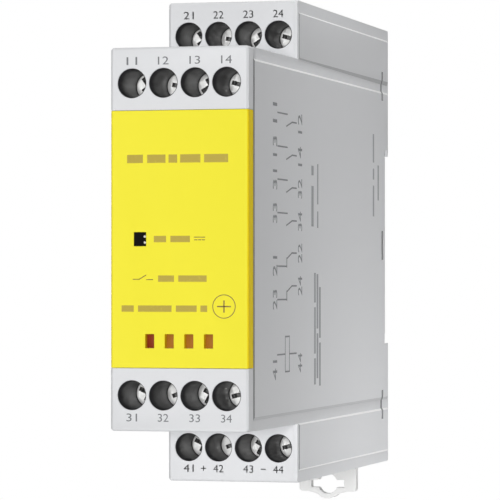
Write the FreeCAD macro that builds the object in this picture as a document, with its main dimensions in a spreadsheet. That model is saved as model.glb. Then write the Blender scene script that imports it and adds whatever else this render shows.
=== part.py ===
"""Safety relay in a slim case for a 35 mm mounting rail.

The origin is the middle of the seat that rests on the rail. The front faces -Y,
the rail lies behind at +Y, +Z is up and lengths are in millimetres.
"""
import FreeCAD, Part
import os

import Sketcher

SIZES = [
    # Case: a tray with its front, top, bottom, rear and left walls, closed by a side cover.
    ("case_width", 22.5),
    ("front_depth", 95.3),
    ("tier_depth", 63.8),
    ("rear_reach", 3.5),
    ("front_height", 60.3),
    ("rear_height", 79.8),
    ("front_wall", 1.4),
    ("top_wall", 1.6),
    ("side_wall", 0.85),
    ("rear_wall", 3.0),
    ("edge_round", 0.5),
    ("edge_chamfer", 0.35),
    ("fit_gap", 0.05),
    # Side cover: three raised fields within a rim, and the windows of its snap hooks.
    ("cover_setback", 3.0),
    ("field_rise", 0.25),
    ("field_rim", 2.0),
    ("field_margin", 1.0),
    ("field_chamfer", 0.2),
    ("snap_height", 5.3),
    ("snap_width", 1.3),
    ("snap_inset", 5.6),
    ("snap_pitch", 29.3),
    ("snap_play", 0.2),
    ("snap_recess", 0.35),
    ("snap_tip", 0.9),
    # Rail seat: a 35 mm rail with 1 mm flanges, a fixed hook above and a latch below.
    ("rail_width", 35.0),
    ("rail_thickness", 1.0),
    ("rail_gap", 0.15),
    ("hook_overlap", 1.0),
    ("hook_chamfer", 0.8),
    ("seat_relief", 0.3),
    ("seat_margin", 0.2),
    ("block_clearance", 0.6),
    # Rail latch: a sliding plate with a foot that a screwdriver pulls down.
    ("latch_width", 10.8),
    ("latch_thickness", 1.8),
    ("latch_gap", 0.1),
    ("latch_overlap", 0.9),
    ("latch_ramp", 1.0),
    ("latch_travel", 3.0),
    ("rib_width", 0.8),
    ("rib_thickness", 0.8),
    ("rib_length", 18.0),
    ("shoulder_drop", 5.8),
    ("shoulder_round", 0.6),
    ("foot_drop", 7.1),
    ("foot_radius", 2.75),
    ("foot_width", 7.6),
    ("foot_hole", 1.85),
    ("foot_slot", 6.3),
    ("foot_gap", 1.4),
    ("peg_width", 2.4),
    ("peg_height", 1.6),
    ("peg_drop", 6.7),
    ("spring_length", 7.6),
    ("spring_strip", 0.8),
    ("spring_breadth", 1.3),
    ("spring_play", 0.3),
    # Front plate: a cap with two side lips, marker slots and a status window.
    ("plate_height", 40.4),
    ("plate_wall", 1.2),
    ("marker_width", 1.45),
    ("marker_height", 2.2),
    ("marker_pitch", 3.2),
    ("marker_drop", 16.0),
    ("status_width", 1.9),
    ("status_height", 2.1),
    ("status_left", 6.4),
    # Terminals: a screw in a well, a rising clamp cage and a contact bar through it.
    ("row_margin", 0.2),
    ("well_wall", 0.45),
    ("well_inset", 5.65),
    ("well_depth", 10.0),
    ("shoulder_wall", 1.2),
    ("head_play", 0.2),
    ("head_height", 2.0),
    ("recess_depth", 1.0),
    ("recess_width", 0.75),
    ("cross_length", 2.6),
    ("shank_radius", 1.35),
    ("shank_play", 0.3),
    ("thread_play", 0.15),
    ("tip_gap", 0.2),
    ("cage_between", 0.95),
    ("cage_height", 4.6),
    ("cage_front", 1.2),
    ("cage_wall", 0.8),
    ("cage_side", 0.45),
    ("cage_room", 6.5),
    ("cage_travel", 4.5),
    ("cage_play", 0.15),
    ("cage_stop", 0.25),
    ("entry_between", 0.75),
    ("entry_gap", 0.3),
    ("block_wall", 0.9),
    ("bar_play", 0.35),
    ("bar_thickness", 0.8),
    ("bar_gap", 0.5),
    ("bar_drop", 2.4),
    ("tab_height", 1.0),
    ("tab_pitch", 1.4),
    # Circuit board on the left wall, with the relay and the status lamp on it.
    ("board_thickness", 1.0),
    ("board_gap", 0.1),
    ("board_margin", 0.8),
    ("board_front", 4.0),
    ("lamp_length", 3.0),
    ("lamp_size", 2.6),
    ("pipe_length", 6.0),
    ("capacitor_radius", 4.0),
    ("capacitor_height", 12.0),
    ("choke_size", 9.0),
    ("chip_size", 6.0),
    ("chip_height", 1.6),
    # Relay with guided contacts: a base, a cover, a magnet and three contact stations.
    ("relay_length", 39.0),
    ("relay_room", 2.0),
    ("relay_clearance", 1.9),
    ("relay_rear", 21.0),
    ("base_thickness", 1.5),
    ("shell_wall", 0.8),
    ("coil_front", 8.0),
    ("coil_length", 22.0),
    ("coil_radius", 4.8),
    ("flange_size", 10.4),
    ("flange_thickness", 1.0),
    ("hub_width", 5.2),
    ("core_radius", 2.1),
    ("core_play", 0.05),
    ("pole_rise", 0.7),
    ("yoke_thickness", 1.2),
    ("yoke_gap", 0.8),
    ("magnet_width", 8.4),
    ("armature_gap", 0.8),
    ("armature_seat", 0.1),
    ("armature_reach", 11.3),
    ("arm_reach", 8.2),
    ("arm_width", 4.0),
    ("card_thickness", 1.2),
    ("card_place", 7.4),
    ("card_edge", 0.8),
    ("card_width", 13.0),
    ("card_play", 0.15),
    ("blade_reach", 13.3),
    ("blade_tip", 2.0),
    ("blade_width", 3.6),
    ("blade_thickness", 0.3),
    ("blade_spacing", 6.2),
    ("station_pitch", 9.0),
    ("contact_size", 1.6),
    ("contact_height", 0.5),
    ("contact_place", 8.5),
    ("open_gap", 0.45),
    ("closed_gap", 0.06),
    ("root_gap", 0.3),
    ("stand_thickness", 1.7),
]

# Counts, and the turns of the screws at rest.
PER_ROW = 4
MARKERS = 4
SPRING_WAVES = 8
WELL_CORNERS = 12
SHANK_CORNERS = 8
FIRST_TURN = 25
NEXT_TURN = 47
UPPER_TURN = 30

# The share of a radius at 45 degrees, a little short so that corners stay inside the circle.
DIAGONAL = 0.7

doc = FreeCAD.newDocument("SafetyRelay")
sheet = doc.addObject("Spreadsheet::Sheet", "Sizes")
nodes = []


class Size:
    """A length that carries its number and the spreadsheet formula behind it."""

    def __init__(self, number, formula):
        self.number = number
        self.formula = formula

    def __add__(self, other):
        other = as_size(other)
        return Size(self.number + other.number, f"({self.formula} + {other.formula})")

    def __sub__(self, other):
        other = as_size(other)
        return Size(self.number - other.number, f"({self.formula} - {other.formula})")

    def __mul__(self, factor):
        return Size(self.number * factor, f"({self.formula} * {factor})")

    def __truediv__(self, factor):
        return Size(self.number / factor, f"({self.formula} / {factor})")

    def __neg__(self):
        return Size(-self.number, f"(-1 * {self.formula})")

    __rmul__ = __mul__


def as_size(value):
    """Take a plain number or a Size and give a Size."""
    return value if isinstance(value, Size) else Size(float(value), repr(float(value)))


class Sheet:
    """The driving dimensions, read by their names."""

    def __init__(self, rows):
        for row, (name, number) in enumerate(rows, 1):
            sheet.set(f"A{row}", name.replace("_", " "))
            sheet.set(f"B{row}", str(number))
            sheet.setAlias(f"B{row}", name)
            setattr(self, name, Size(float(number), f"Sizes.{name}"))
        doc.recompute()


s = Sheet(SIZES)

# Places shared by several pieces.
half_width = s.case_width / 2
inner_side = half_width - s.side_wall
front_face = -s.front_depth
tier_face = -s.tier_depth
front_top = s.front_height / 2
rear_top = s.rear_height / 2
cover_front = front_face + s.cover_setback
rail_top = s.rail_width / 2 + s.rail_gap
hook_tip = s.rail_width / 2 - s.hook_overlap
hook_front = s.rail_thickness + s.rail_gap
seat_half = hook_tip - s.seat_margin
block_top = -(s.rail_width / 2) - s.block_clearance
plate_top = s.plate_height / 2
board_face = -inner_side + s.board_gap + s.board_thickness
well_pitch = (inner_side * 2 - s.row_margin) / PER_ROW
well_radius = (well_pitch - s.well_wall) / 2
head_radius = well_radius - s.head_play
cage_width = well_pitch - s.cage_between
entry_width = well_pitch - s.entry_between
bar_half = cage_width / 2 - s.cage_side - s.bar_play
head_seat = s.well_depth + s.head_height + s.fit_gap
chamber_front = head_seat + s.shoulder_wall
cage_rest = chamber_front + s.cage_stop + s.cage_travel
bar_front = cage_rest + s.cage_front + s.bar_gap
bar_rear = bar_front + s.bar_thickness
cage_rear = cage_rest + s.cage_front + s.cage_room + s.cage_wall
block_rear = cage_rear + s.block_wall
chamber_half = s.cage_height / 2 + s.cage_play
block_inset = s.well_inset + chamber_half + s.block_wall


def bind(item, **sizes):
    """Bind properties of an object to sizes."""
    for name, size in sizes.items():
        item.setExpression(name, as_size(size).formula)


def place(item, x=0, y=0, z=0):
    """Bind the place of an object to sizes."""
    for axis, size in zip("xyz", (x, y, z)):
        item.setExpression(f"Placement.Base.{axis}", as_size(size).formula)


def keep(item, name):
    """Give an object the name of its sub-part and put it on the list to be written."""
    item.Label = name
    nodes.append(item)
    return item


# Part primitives and booleans ------------------------------------------------------------


def box(name, x, y, z):
    """A block between pairs of sizes along X, Y and Z."""
    item = doc.addObject("Part::Box", name)
    bind(item, Length=x[1] - x[0], Width=y[1] - y[0], Height=z[1] - z[0])
    place(item, x[0], y[0], z[0])
    return item


def cylinder(name, axis, radius, start, length):
    """A round bar from a starting point along X, Y or Z."""
    item = doc.addObject("Part::Cylinder", name)
    turned = {"X": FreeCAD.Vector(1, 0, 0), "Y": FreeCAD.Vector(0, 1, 0), "Z": FreeCAD.Vector(0, 0, 1)}
    item.Placement = FreeCAD.Placement(
        FreeCAD.Vector(), FreeCAD.Rotation(FreeCAD.Vector(0, 0, 1), turned[axis]))
    bind(item, Radius=radius, Height=length)
    place(item, *start)
    return item


def fuse(name, items):
    """One piece from several that meet."""
    item = doc.addObject("Part::MultiFuse", name)
    item.Shapes = items
    return item


def group(name, items):
    """Separate solids that share one node."""
    item = doc.addObject("Part::Compound", name)
    item.Links = items
    return item


def cut(name, base, tool):
    """A piece with another taken out of it."""
    item = doc.addObject("Part::Cut", name)
    item.Base = base
    item.Tool = tool
    return item


# PartDesign bodies -----------------------------------------------------------------------


def new_body(name):
    """An empty body that is written under its own name."""
    return keep(doc.addObject("PartDesign::Body", name), name)


def sketch_on(body, plane, at=0):
    """A sketch on one of the body's own planes, moved to a place along the plane's axis."""
    role = f"{plane}_Plane"
    support = next(item for item in body.Origin.OriginFeatures if item.Role == role)
    sketch = body.newObject("Sketcher::SketchObject", f"{body.Name}_sketch")
    sketch.AttachmentSupport = [(support, "")]
    sketch.MapMode = "FlatFace"
    offset = -as_size(at) if plane == "XZ" else as_size(at)
    sketch.setExpression("AttachmentOffset.Base.z", offset.formula)
    return sketch


def fix_point(sketch, edge, end, across, up):
    """Hold one point of a sketch at a pair of sizes from the sketch's origin."""
    for kind, size in (("DistanceX", across), ("DistanceY", up)):
        rule = Sketcher.Constraint(kind, -1, 1, edge, end, size.number)
        number = sketch.addConstraint(rule)
        sketch.setExpression(f"Constraints[{number}]", size.formula)


def polygon(sketch, corners):
    """Draw a closed outline through corners given as pairs of sizes."""
    corners = [(as_size(across), as_size(up)) for across, up in corners]
    first = sketch.GeometryCount
    count = len(corners)
    for index, (across, up) in enumerate(corners):
        after = corners[(index + 1) % count]
        start = FreeCAD.Vector(across.number, up.number, 0)
        end = FreeCAD.Vector(after[0].number, after[1].number, 0)
        sketch.addGeometry(Part.LineSegment(start, end), False)
    for index in range(count):
        joined = Sketcher.Constraint("Coincident", first + index, 2, first + (index + 1) % count, 1)
        sketch.addConstraint(joined)
    for index, (across, up) in enumerate(corners):
        fix_point(sketch, first + index, 1, across, up)


def rectangle(sketch, across, up):
    """Draw a rectangle between two pairs of sizes."""
    polygon(sketch, [(across[0], up[0]), (across[1], up[0]), (across[1], up[1]), (across[0], up[1])])


def circle(sketch, across, up, radius):
    """Draw a circle about a point given as a pair of sizes."""
    across, up, radius = as_size(across), as_size(up), as_size(radius)
    centre = FreeCAD.Vector(across.number, up.number, 0)
    edge = sketch.addGeometry(Part.Circle(centre, FreeCAD.Vector(0, 0, 1), radius.number), False)
    fix_point(sketch, edge, 3, across, up)
    number = sketch.addConstraint(Sketcher.Constraint("Radius", edge, radius.number))
    sketch.setExpression(f"Constraints[{number}]", radius.formula)


def plane_of(sketch):
    """The letters of the plane that a sketch lies on."""
    return sketch.AttachmentSupport[0][0].Role[:2]


def pad(body, sketch, length, toward=1):
    """Raise a sketch along its axis: 1 towards plus, -1 towards minus, 0 both ways."""
    feature = body.newObject("PartDesign::Pad", f"{body.Name}_pad")
    feature.Profile = sketch
    feature.Midplane = toward == 0
    feature.Reversed = toward == (1 if plane_of(sketch) == "XZ" else -1)
    bind(feature, Length=length)
    doc.recompute()
    return feature


def pocket(body, sketch, length, toward=1):
    """Cut a sketch into the body along its axis, and make sure that it takes something away."""
    before = body.Shape.Volume
    feature = body.newObject("PartDesign::Pocket", f"{body.Name}_pocket")
    feature.Profile = sketch
    feature.Midplane = toward == 0
    feature.Reversed = toward == (-1 if plane_of(sketch) == "XZ" else 1)
    bind(feature, Length=length)
    doc.recompute()
    if body.Shape.Volume >= before:
        raise RuntimeError(f"{feature.Name} cuts nothing")
    return feature


def round_edges(body, radius, chosen, kind="Fillet"):
    """Round or chamfer the edges of the body that pass a test."""
    base = body.Tip
    names = [f"Edge{number}" for number, edge in enumerate(base.Shape.Edges, 1) if chosen(edge.BoundBox)]
    if not names:
        raise RuntimeError(f"{body.Name} has no edge to round")
    feature = body.newObject(f"PartDesign::{kind}", f"{body.Name}_{kind.lower()}")
    feature.Base = (base, names)
    bind(feature, **{"Radius" if kind == "Fillet" else "Size": radius})
    doc.recompute()
    return feature


def same(number, size):
    """True where a coordinate equals a size."""
    return abs(number - as_size(size).number) < 1e-4


def across_case(bounds):
    """True for an edge that runs straight along X."""
    return bounds.XLength > 1e-3 and bounds.YLength < 1e-4 and bounds.ZLength < 1e-4


def flat_at(bounds, axis, size):
    """True for an edge that lies at one coordinate along an axis."""
    low = {"X": bounds.XMin, "Y": bounds.YMin, "Z": bounds.ZMin}[axis]
    high = {"X": bounds.XMax, "Y": bounds.YMax, "Z": bounds.ZMax}[axis]
    return same(low, size) and same(high, size)


# Terminal places -------------------------------------------------------------------------

ROWS = {
    "front_upper": (front_face, front_top, 1),
    "rear_upper": (tier_face, rear_top, 1),
    "front_lower": (front_face, front_top, -1),
    "rear_lower": (tier_face, rear_top, -1),
}


def places():
    """The places of a row's terminals across the case."""
    return [well_pitch * (index - (PER_ROW - 1) / 2) for index in range(PER_ROW)]


def well_height(top, side):
    """The height of a row's screws."""
    return (top - s.well_inset) * side


def around(middle, half):
    """A pair of sizes at equal distances from a middle."""
    return as_size(middle) - half, as_size(middle) + half


def ring(across, up, radius, count):
    """The corners of an even outline about a point, with the first side upright."""
    across, up, radius = as_size(across), as_size(up), as_size(radius)
    corners = []
    for index in range(count):
        angle = 360 * (index + 0.5) / count
        turned = FreeCAD.Rotation(FreeCAD.Vector(0, 0, 1), angle).multVec(FreeCAD.Vector(1, 0, 0))
        corners.append((across + radius * round(turned.x, 9), up + radius * round(turned.y, 9)))
    return corners


def span(start, end, side=1):
    """A pair of sizes in rising order, mirrored below the middle where side is -1."""
    return (start, end) if side > 0 else (end * -1, start * -1)


# Case ------------------------------------------------------------------------------------


def stepped_outline(front, tier, low_top, high_top, rear):
    """The side outline of the case: a front section with a taller tier behind it."""
    return [
        (front, -low_top), (tier, -low_top), (tier, -high_top), (rear, -high_top),
        (rear, high_top), (tier, high_top), (tier, low_top), (front, low_top),
    ]


def cut_rail_seat(body):
    """Cut the channel that takes the rail, with the slot behind its fixed hook."""
    sketch = sketch_on(body, "YZ")
    rear = s.rear_reach + s.rail_thickness
    polygon(sketch, [
        (-s.seat_relief, block_top), (rear, block_top), (rear, hook_tip + s.hook_chamfer),
        (s.rear_reach, hook_tip + s.hook_chamfer), (s.rear_reach - s.hook_chamfer, hook_tip),
        (hook_front, hook_tip), (hook_front, rail_top), (-s.seat_relief, rail_top),
        (-s.seat_relief, seat_half), (0, seat_half), (0, -seat_half), (-s.seat_relief, -seat_half),
    ])
    pocket(body, sketch, s.case_width * 2, 0)


def make_housing():
    """The tray: left wall, front, tiers and rear, with wells, wire entries and rail seat."""
    body = new_body("housing_body")
    outline = sketch_on(body, "YZ")
    polygon(outline, stepped_outline(front_face, tier_face, front_top, rear_top, s.rear_reach))
    pad(body, outline, s.case_width, 0)

    def outer_corner(bounds):
        front = same(bounds.YMin, front_face) and same(abs(bounds.ZMin), front_top)
        tall = same(abs(bounds.ZMin), rear_top)
        return across_case(bounds) and (front or tall)

    round_edges(body, s.edge_round, outer_corner)
    round_edges(body, s.edge_chamfer, lambda bounds: flat_at(bounds, "X", -half_width)
                or flat_at(bounds, "X", half_width), "Chamfer")

    # The side cover's seat, then the hollow behind it.
    seat = sketch_on(body, "YZ", half_width)
    rectangle(seat, (cover_front, s.rear_reach + 1), (-rear_top - 1, rear_top + 1))
    pocket(body, seat, s.side_wall, -1)
    hollow = sketch_on(body, "YZ", inner_side)
    shelf = front_top - block_inset - s.fit_gap
    behind_plate = front_face + s.plate_wall + s.front_wall
    low_top = front_top - s.top_wall
    high_top = rear_top - s.top_wall
    behind_front = front_face + s.front_wall
    behind_tier = tier_face + s.front_wall
    polygon(hollow, [
        (behind_plate, -shelf), (behind_front, -shelf), (behind_front, -low_top),
        (behind_tier, -low_top), (behind_tier, -high_top), (-s.rear_wall, -high_top),
        (-s.rear_wall, high_top), (behind_tier, high_top), (behind_tier, low_top),
        (behind_front, low_top), (behind_front, shelf), (behind_plate, shelf),
    ])
    pocket(body, hollow, inner_side * 2, -1)
    cut_rail_seat(body)

    # The front plate's seat, with the openings behind its lips.
    plate_seat = sketch_on(body, "XY")
    plate_back = front_face + s.plate_wall + s.fit_gap
    out = half_width + 1
    polygon(plate_seat, [
        (-out, front_face - 1), (out, front_face - 1), (out, cover_front), (inner_side, cover_front),
        (inner_side, plate_back), (-inner_side, plate_back), (-inner_side, cover_front),
        (-out, cover_front),
    ])
    pocket(body, plate_seat, s.plate_height + s.fit_gap * 2, 0)
    status = sketch_on(body, "XZ", front_face)
    pipe = s.status_width / 2 + s.fit_gap
    rise = s.status_height / 2 + s.fit_gap
    rectangle(status, around(-s.status_left, pipe), around(0, rise))
    pocket(body, status, s.plate_wall + s.front_wall * 2, 1)

    for face, top, side in ROWS.values():
        wells = sketch_on(body, "XZ", face)
        for x in places():
            circle(wells, x, well_height(top, side), well_radius)
        pocket(body, wells, s.front_wall, 1)
    for face, top, side in ROWS.values():
        entries = sketch_on(body, "XY", top * side)
        for x in places():
            rectangle(entries, around(x, entry_width / 2), entry_span(face))
        pocket(body, entries, s.top_wall, -side)

    # The guide of the rail latch at the rear, open below and towards the rail.
    guide = sketch_on(body, "XY", -rear_top)
    wide = s.latch_width / 2 + s.latch_gap
    ribbed = wide + s.rib_width
    floor = hook_front - s.latch_gap
    rib_front = hook_front + (s.latch_thickness - s.rib_thickness) / 2 - s.latch_gap
    rib_rear = rib_front + s.rib_thickness + s.latch_gap * 2
    polygon(guide, [
        (-wide, floor), (wide, floor), (wide, rib_front), (ribbed, rib_front), (ribbed, rib_rear),
        (wide, rib_rear), (wide, s.rear_reach + 1), (-wide, s.rear_reach + 1), (-wide, rib_rear),
        (-ribbed, rib_rear), (-ribbed, rib_front), (-wide, rib_front),
    ])
    pocket(body, guide, rear_top + block_top, 1)
    peg = sketch_on(body, "XZ", floor - s.fit_gap)
    peg_bottom = -rear_top + s.peg_drop
    rectangle(peg, around(0, s.peg_width / 2), (peg_bottom, peg_bottom + s.peg_height))
    pad(body, peg, s.latch_thickness, 1)

    # Snap hooks that stand in the windows of the side cover.
    hooks = sketch_on(body, "YZ", inner_side - s.fit_gap)
    for z in snap_places():
        rectangle(hooks, around(s.rear_reach - s.snap_inset, s.snap_width / 2 - s.snap_play),
                  around(z, s.snap_height / 2 - s.snap_play))
    hook_reach = s.side_wall - s.field_rise + s.fit_gap
    pad(body, hooks, hook_reach - s.snap_recess, 1)
    tips = sketch_on(body, "YZ", inner_side - s.fit_gap)
    for z in snap_places():
        tip_bottom = z - s.snap_height / 2 + s.snap_play
        rectangle(tips, around(s.rear_reach - s.snap_inset, s.snap_width / 2 - s.snap_play),
                  (tip_bottom, tip_bottom + s.snap_tip))
    pad(body, tips, hook_reach, 1)
    return body


def entry_span(face):
    """The span in Y of the wire entries of a row: from behind its bars to the rear of its block."""
    return (face + bar_rear + s.entry_gap, face + block_rear + s.fit_gap)


def snap_places():
    """The heights of the snap windows."""
    return [s.snap_pitch * step for step in (-1, 0, 1)]


def make_cover():
    """The side cover: a thin plate with three raised fields and three snap windows."""
    body = new_body("side_cover")
    rim_level = half_width - s.field_rise
    outline = sketch_on(body, "YZ", inner_side)
    polygon(outline, stepped_outline(cover_front + s.fit_gap, tier_face, front_top, rear_top, s.rear_reach))
    pad(body, outline, s.side_wall - s.field_rise, 1)
    round_edges(body, s.edge_round, lambda bounds: across_case(bounds) and same(abs(bounds.ZMin), rear_top))

    fields = sketch_on(body, "YZ", rim_level)
    main_top = front_top - s.field_rim
    tier_top = rear_top - s.field_rim
    rear = s.rear_reach - s.field_margin
    rectangle(fields, (cover_front + s.fit_gap, rear), (-main_top, main_top))
    for side in (1, -1):
        rectangle(fields, (tier_face + s.edge_round, rear), span(front_top, tier_top, side))
    pad(body, fields, s.field_rise, 1)
    round_edges(body, s.field_chamfer, lambda bounds: flat_at(bounds, "X", half_width), "Chamfer")
    cut_rail_seat(body)
    windows = sketch_on(body, "YZ", half_width)
    for z in snap_places():
        rectangle(windows, around(s.rear_reach - s.snap_inset, s.snap_width / 2),
                  around(z, s.snap_height / 2))
    pocket(body, windows, s.side_wall, -1)
    return body


def make_front_plate():
    """The front plate: a cap that wraps round both sides, with marker slots and a window."""
    body = new_body("front_plate")
    section = sketch_on(body, "XY")
    back = front_face + s.plate_wall
    lip = inner_side + s.fit_gap
    polygon(section, [
        (-half_width, front_face), (half_width, front_face), (half_width, cover_front),
        (lip, cover_front), (lip, back), (-lip, back), (-lip, cover_front), (-half_width, cover_front),
    ])
    pad(body, section, s.plate_height, 0)
    round_edges(body, s.edge_round, lambda bounds: flat_at(bounds, "Y", front_face)
                and bounds.XLength < 1e-3)
    openings = sketch_on(body, "XZ", front_face)
    for step in range(MARKERS):
        x = s.marker_pitch * (step - (MARKERS - 1) / 2)
        rectangle(openings, around(x, s.marker_width / 2), around(-s.marker_drop, s.marker_height / 2))
    pipe = s.status_width / 2 + s.fit_gap
    rise = s.status_height / 2 + s.fit_gap
    rectangle(openings, around(-s.status_left, pipe), around(0, rise))
    pocket(body, openings, s.plate_wall, 1)
    return body


def make_status_window():
    """The light pipe of the status lamp, from the front plate to the lamp on the board."""
    pipe = box("status_window_pipe", around(-s.status_left, s.status_width / 2),
               (front_face + s.fit_gap, front_face + s.pipe_length), around(0, s.status_height / 2))
    keep(pipe, "status_window")


# Rail latch ------------------------------------------------------------------------------


def make_latch():
    """The rail latch: a ribbed plate with a ramped nose above and a pierced foot below."""
    body = new_body("rail_latch")
    front = hook_front
    rear = front + s.latch_thickness
    nose = -(s.rail_width / 2) + s.latch_overlap
    bottom = -rear_top - s.shoulder_drop
    half = s.latch_width / 2
    plate = sketch_on(body, "XZ", front)
    rectangle(plate, (-half, half), (bottom, nose))
    pad(body, plate, s.latch_thickness, 1)
    round_edges(body, s.shoulder_round, lambda bounds: same(bounds.ZMin, bottom)
                and bounds.ZLength < 1e-4 and bounds.XLength < 1e-4)
    round_edges(body, s.latch_ramp, lambda bounds: flat_at(bounds, "Y", rear)
                and flat_at(bounds, "Z", nose), "Chamfer")
    foot = sketch_on(body, "XZ", front)
    foot_middle = -rear_top - s.foot_drop + s.foot_radius
    circle(foot, 0, foot_middle, s.foot_radius)
    pad(body, foot, s.latch_thickness, 1)
    flare = sketch_on(body, "XZ", front)
    corner = s.foot_radius * DIAGONAL
    polygon(flare, [(-s.foot_width / 2, bottom), (-corner, foot_middle - corner),
                    (corner, foot_middle - corner), (s.foot_width / 2, bottom)])
    pad(body, flare, s.latch_thickness, 1)
    ribs = sketch_on(body, "XZ", front + (s.latch_thickness - s.rib_thickness) / 2)
    rib_bottom = -rear_top + s.latch_travel + s.latch_gap
    for side in (1, -1):
        rectangle(ribs, span(half, half + s.rib_width, side), (rib_bottom, rib_bottom + s.rib_length))
    pad(body, ribs, s.rib_thickness, 1)
    holes = sketch_on(body, "XZ", front)
    circle(holes, 0, foot_middle, s.foot_hole)
    pocket(body, holes, s.latch_thickness, 1)
    slot = sketch_on(body, "XZ", front)
    rectangle(slot, (-s.foot_slot / 2, s.foot_slot / 2),
              (foot_middle - s.foot_gap / 2, foot_middle + s.foot_gap / 2))
    pocket(body, slot, s.latch_thickness, 1)
    window = sketch_on(body, "XZ", front)
    peg_bottom = -rear_top + s.peg_drop
    room = s.peg_width / 2 + s.spring_play
    rectangle(window, (-room, room),
              (peg_bottom - s.spring_play, peg_bottom + s.peg_height + s.spring_length))
    pocket(body, window, s.latch_thickness, 1)
    return body


def make_latch_spring():
    """The latch's wave spring, bent from strip, between the peg and the plate's window."""
    body = new_body("latch_spring")
    bottom = -rear_top + s.peg_drop + s.peg_height
    rise = s.spring_length / SPRING_WAVES
    swing = (s.peg_width - s.spring_strip) / 2
    middle = [(swing * (1 if step % 2 else -1), bottom + rise * step)
              for step in range(SPRING_WAVES + 1)]
    right = [(x + s.spring_strip / 2, z) for x, z in middle]
    left = [(x - s.spring_strip / 2, z) for x, z in reversed(middle)]
    front = hook_front + (s.latch_thickness - s.spring_breadth) / 2
    wave = sketch_on(body, "XZ", front)
    polygon(wave, right + left)
    pad(body, wave, s.spring_breadth, 1)
    return body


# Terminals -------------------------------------------------------------------------------


def make_terminal_block(row, face, top, side):
    """The insulating block of a row: wells, clamp chambers, wire entries and bar slots."""
    body = new_body(f"terminal_block_{row}")
    half = inner_side - s.fit_gap
    outer = top - s.top_wall - s.fit_gap
    inner = top - block_inset
    start = face + s.front_wall + s.fit_gap
    middle = well_height(top, side)
    block = sketch_on(body, "XZ", start)
    rectangle(block, (-half, half), span(inner, outer, side))
    pad(body, block, face + block_rear - start, 1)

    wells = sketch_on(body, "XZ", start)
    shanks = sketch_on(body, "XZ", start)
    chambers = sketch_on(body, "XZ", face + block_rear)
    entries = sketch_on(body, "XY", outer * side)
    bars = sketch_on(body, "XY", inner * side)
    for x in places():
        polygon(wells, ring(x, middle, well_radius, WELL_CORNERS))
        polygon(shanks, ring(x, middle, s.shank_radius + s.shank_play, SHANK_CORNERS))
        rectangle(chambers, around(x, cage_width / 2 + s.cage_play), around(middle, chamber_half))
        rectangle(entries, around(x, entry_width / 2), entry_span(face))
        rectangle(bars, around(x, bar_half + s.fit_gap),
                  (face + bar_front - s.fit_gap, face + bar_rear + s.fit_gap))
    pocket(body, wells, head_seat - s.front_wall - s.fit_gap, 1)
    pocket(body, shanks, chamber_front, 1)
    pocket(body, chambers, block_rear - chamber_front, -1)
    pocket(body, entries, outer - (top - s.well_inset), -side)
    pocket(body, bars, s.block_wall * 2, side)
    return body


def make_screw(name, x, y, z, turn):
    """A terminal screw along Y: a cheese head with a slot and cross, and a plain shank."""
    body = new_body(name)
    head = sketch_on(body, "XZ")
    circle(head, 0, 0, head_radius)
    pad(body, head, s.head_height, 1)
    shank = sketch_on(body, "XZ")
    polygon(shank, ring(0, 0, s.shank_radius, SHANK_CORNERS))
    pad(body, shank, bar_front - s.well_depth - s.tip_gap, 1)
    half = s.recess_width / 2
    slot = sketch_on(body, "XZ")
    rectangle(slot, around(0, head_radius * 2), around(0, half))
    pocket(body, slot, s.recess_depth, 1)
    cross = sketch_on(body, "XZ")
    rectangle(cross, around(0, half), around(0, s.cross_length / 2))
    pocket(body, cross, s.recess_depth, 1)
    body.Placement = FreeCAD.Placement(FreeCAD.Vector(), FreeCAD.Rotation(FreeCAD.Vector(0, 1, 0), turn))
    place(body, x, y, z)
    return body


def make_cage(name, x, y, z):
    """A rising clamp cage: a bent strip round the bar, tapped at the front for the screw."""
    body = new_body(name)
    half = cage_width / 2
    length = s.cage_front + s.cage_room + s.cage_wall
    strip = sketch_on(body, "XY")
    rectangle(strip, around(0, half), (0, length))
    rectangle(strip, around(0, half - s.cage_side), (s.cage_front, s.cage_front + s.cage_room))
    pad(body, strip, s.cage_height, 0)
    tapped = sketch_on(body, "XZ")
    polygon(tapped, ring(0, 0, s.shank_radius + s.thread_play, SHANK_CORNERS))
    pocket(body, tapped, s.cage_front, 1)
    place(body, x, y, z)
    return body


def make_bars(row, face, top, side):
    """The contact bars of a row: each runs through its cage and tabs over to the board."""
    middle = top - s.well_inset
    outer_end = middle + s.cage_height / 2 - s.tab_height / 2
    pieces = []
    for index, x in enumerate(places()):
        end = top - block_inset - s.bar_drop - s.tab_pitch * index
        depth = (face + bar_front, face + bar_rear)
        strip = box(f"bar_{row}_{index}", around(x, bar_half), depth, span(end, outer_end, side))
        tab = box(f"tab_{row}_{index}", (board_face, x), depth, span(end, end + s.tab_height, side))
        pieces.append(fuse(f"contact_{row}_{index}", [strip, tab]))
    keep(group(f"bars_{row}", pieces), f"contact_bars_{row}")


def make_terminals():
    """Every row's block, bars, screws and cages."""
    for row, (face, top, side) in ROWS.items():
        make_terminal_block(row, face, top, side)
        make_bars(row, face, top, side)
        height = well_height(top, side)
        for index, x in enumerate(places()):
            turn = FIRST_TURN + NEXT_TURN * index + (UPPER_TURN if side > 0 else 0)
            make_screw(f"terminal_screw_{row}_{index + 1}", x, face + s.well_depth, height, turn)
            make_cage(f"clamp_cage_{row}_{index + 1}", x, face + cage_rest, height)


# Circuit board ---------------------------------------------------------------------------


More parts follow.
